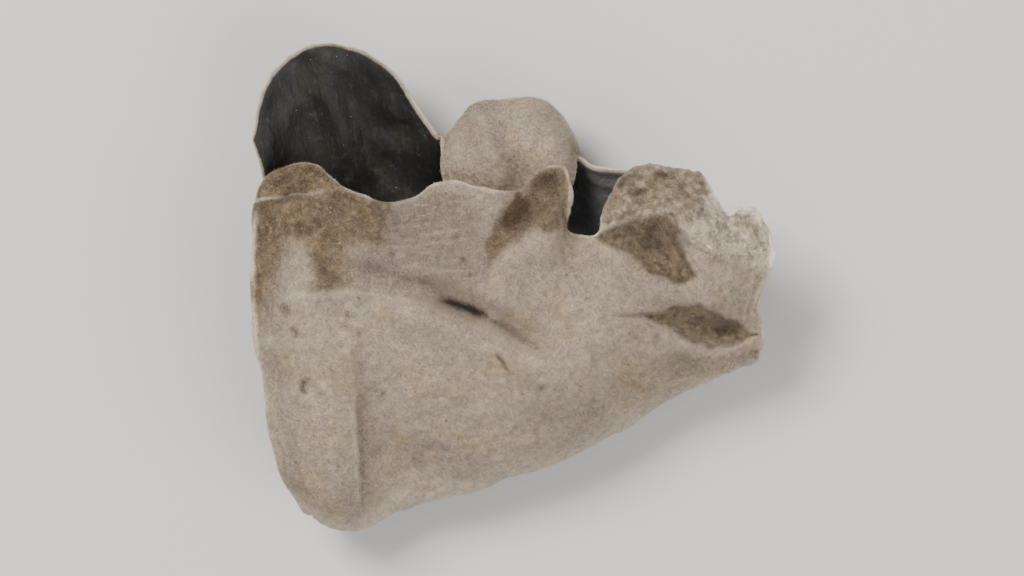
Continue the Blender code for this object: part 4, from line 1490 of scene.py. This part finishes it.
height = felted[..., 2]
rolled = in_back * ramp(height, *LIP_CLEAR)
nap = ramp(height, *NAP_CLEAR) * np.maximum(in_front, np.maximum(BACK_NAP * in_back, rolled))
nap = nap * (1 - BALD["mouth"] * mouth) * ease(margin / BALD["margin"])
long_hair = 1 - lobe * np.where(grain > TUFT, SHORTER["on_grain"], SHORTER["between"])
long_hair -= SHORTER["margin"] * (1 - ease(margin / SHORTER["reach"]))
normals = outward(felted)
across_way = np.gradient(felted, axis=0)
across_way /= np.linalg.norm(across_way, axis=2, keepdims=True)
along_way = np.cross(normals, across_way)
stir = waves(felted, STIR["length"], 61)[..., None]
lie = normals + LEAN * (STIR["aside"] * stir * along_way - across_way * (1 - STIR["back"] * np.abs(stir)))
lie /= np.linalg.norm(lie, axis=2, keepdims=True)
print("nap covers", round(100 * float((nap > 0.5).mean())), "% of the felted face")

# %% The hairs' material
def hair_material():
    """Hairs, dyed like the skin under them and paler at their tips."""
    recipe = Recipe("hair")
    place = recipe.place()
    colour = felt_colour(recipe, place)
    tip = recipe.field("tip").step(0.3, 1.0)
    paler = recipe.mix(tip * 0.15, colour, BLEACHED)
    return recipe.finish({"Base Color": paler, "Roughness": 0.8 + 0.1 * tip, "Specular IOR Level": 0.2})


hair = hair_material()
print("hair:", len(hair.node_tree.nodes), "nodes")

# %% Growing one piece of hair
HAIR = {"Length": 0.3, "Thickness": 0.032, "Scatter": 0.7, "Material": hair}


def skin_area(mask):
    """The area in square millimetres of the felted cells where the mask is true, counted by their nap."""
    down = felted[1:, :-1] - felted[:-1, :-1]
    right = felted[:-1, 1:] - felted[:-1, :-1]
    return float((np.linalg.norm(np.cross(down, right), axis=2) * mask * nap[:-1, :-1]).sum())


def hair_bed(name, mask):
    """Part of the felted face as an object that carries the hairs' fields."""
    faces = np.array(felt_faces).reshape(ROWS, COLUMNS, 4)[mask].tolist()
    skin = bpy.data.meshes.new(name + "_skin")
    skin.from_pydata(((felted - home) * MM).reshape(-1, 3).tolist(), [], faces)
    for key, field in {**FIELDS, "nap": nap, "long": long_hair}.items():
        attribute(skin, key, np.broadcast_to(field, margin.shape))
    lay = skin.attributes.new("lay", "FLOAT_VECTOR", "POINT")
    lay.data.foreach_set("vector", lie.astype(np.float32).ravel())
    bed = bpy.data.objects.new(name + "_skin", skin)
    bpy.context.scene.collection.objects.link(bed)
    return bed


def hair_piece(name, mask, density, seed):
    """Grows hairs on part of the felted face and returns them as a plain mesh object."""
    bed = hair_bed(name, mask)
    modifier = bed.modifiers.new("felt", "NODES")
    modifier.node_group = felt_hairs
    sizes = {**HAIR, "Hairs per square millimetre": density, "Seed": seed}
    for item in felt_hairs.interface.items_tree:
        if item.in_out == "INPUT" and item.name in sizes:
            modifier[item.identifier] = sizes[item.name]
    evaluated = bed.evaluated_get(bpy.context.evaluated_depsgraph_get())
    grown = bpy.data.meshes.new_from_object(evaluated)
    grown.name = name
    bpy.data.objects.remove(bed)
    piece = bpy.data.objects.new(name, grown)
    bpy.context.scene.collection.objects.link(piece)
    print(name, len(grown.polygons) // 4, "hairs")
    return piece


print("a hair is", HAIR["Length"], "mm long and", HAIR["Thickness"], "mm thick")

# %% Hair pieces: four across the front wall, and one for the back wall
HAIR_LIMIT = 48000  # hairs in a piece, each with four triangles
DENSEST = 120.0  # hairs on a square millimetre
ZONE_ENDS = (-np.inf, -15.9, -3.8, 11.2, np.inf)  # where the front pieces meet, from left to right
ZONE_NAMES = ("hairs_left", "hairs_middle", "hairs_notch", "hairs_right")

cell_x = felted[:-1, :-1, 0] - home[0]
in_front_wall = np.mgrid[:ROWS, :COLUMNS][0] < FRONT_SHARE * ROWS
zones = {
    name: in_front_wall & (cell_x >= left) & (cell_x < right)
    for name, left, right in zip(ZONE_NAMES, ZONE_ENDS, ZONE_ENDS[1:])
}
zones["hairs_back"] = ~in_front_wall
pieces = []
for seed, (name, mask) in enumerate(zones.items(), start=1):
    room = skin_area(mask)
    density = min(DENSEST, HAIR_LIMIT / room)
    print(name, "on", round(room), "square millimetres,", round(density), "hairs on each")
    pieces.append(hair_piece(name, mask, density, seed))

# %% [markdown]
# ## Table, light and camera
#
# The picture that this follows was taken from straight above in soft light from the upper left. A large
# pale table, one broad lamp for the shadows, a weaker one opposite and an even sky give the same calm
# light without hiding the relief.

# %% Table
FLOOR_HALF = 1.2  # metres
TABLE_PAINT = paint(206, 204, 200)

floor_mesh = bpy.data.meshes.new("table")
corners = [(x * FLOOR_HALF, y * FLOOR_HALF, 0.0) for x, y in ((-1, -1), (1, -1), (1, 1), (-1, 1))]
floor_mesh.from_pydata(corners, [], [(0, 1, 2, 3)])
table = bpy.data.objects.new("table", floor_mesh)
bpy.context.scene.collection.objects.link(table)
recipe = Recipe("table_top")
floor_mesh.materials.append(recipe.finish({"Base Color": TABLE_PAINT, "Roughness": 0.85}))
print("table laid")


# %% Light
KEY = dict(place=(-0.26, 0.26, 0.5), size=0.24, power=5.3, colour=(1.0, 0.98, 0.95))  # metres and watts
FILL = dict(place=(0.35, -0.3, 0.4), size=0.5, power=2.9, colour=(1.0, 1.0, 1.0))
SKY = dict(Color=(0.92, 0.95, 1.0, 1.0), Strength=0.5)


def lamp(name, place, size, power, colour):
    """A square area lamp that faces the mushroom."""
    light = bpy.data.lights.new(name, "AREA")
    light.size, light.energy, light.color = size, power, colour
    holder = bpy.data.objects.new(name, light)
    holder.location = place
    holder.rotation_euler = (-Vector(place)).to_track_quat("-Z", "Y").to_euler()
    bpy.context.scene.collection.objects.link(holder)


lamp("key", **KEY)
lamp("fill", **FILL)
sky = bpy.data.worlds.new("sky")
sky.use_nodes = True
for name, value in SKY.items():
    sky.node_tree.nodes["Background"].inputs[name].default_value = value
bpy.context.scene.world = sky
print("two lamps and a sky")

# %% Camera
CAMERA_HEIGHT = 0.5
MUSHROOM_HEIGHT = 0.012  # above the table, where most of the front wall is
VIEW_WIDTH = 0.106  # metres across the picture, at that height

camera = bpy.data.cameras.new("camera")
camera.lens = camera.sensor_width * (CAMERA_HEIGHT - MUSHROOM_HEIGHT) / VIEW_WIDTH
camera.clip_start = 0.01
viewer = bpy.data.objects.new("camera", camera)
viewer.location = (0.0, 0.0, CAMERA_HEIGHT)
bpy.context.scene.collection.objects.link(viewer)
bpy.context.scene.camera = viewer
print("camera looks straight down with a", round(camera.lens), "mm lens")

# %% [markdown]
# ## Handing the pieces to the frame
#
# The flesh stands for the plain solid, which stays for the physics. Everything rides on the one body.

# %% Riding
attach(ear, "root")
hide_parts("wood_ear")
for piece in pieces:
    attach(piece, "root")
print(1 + len(pieces), "pieces ride on the body")
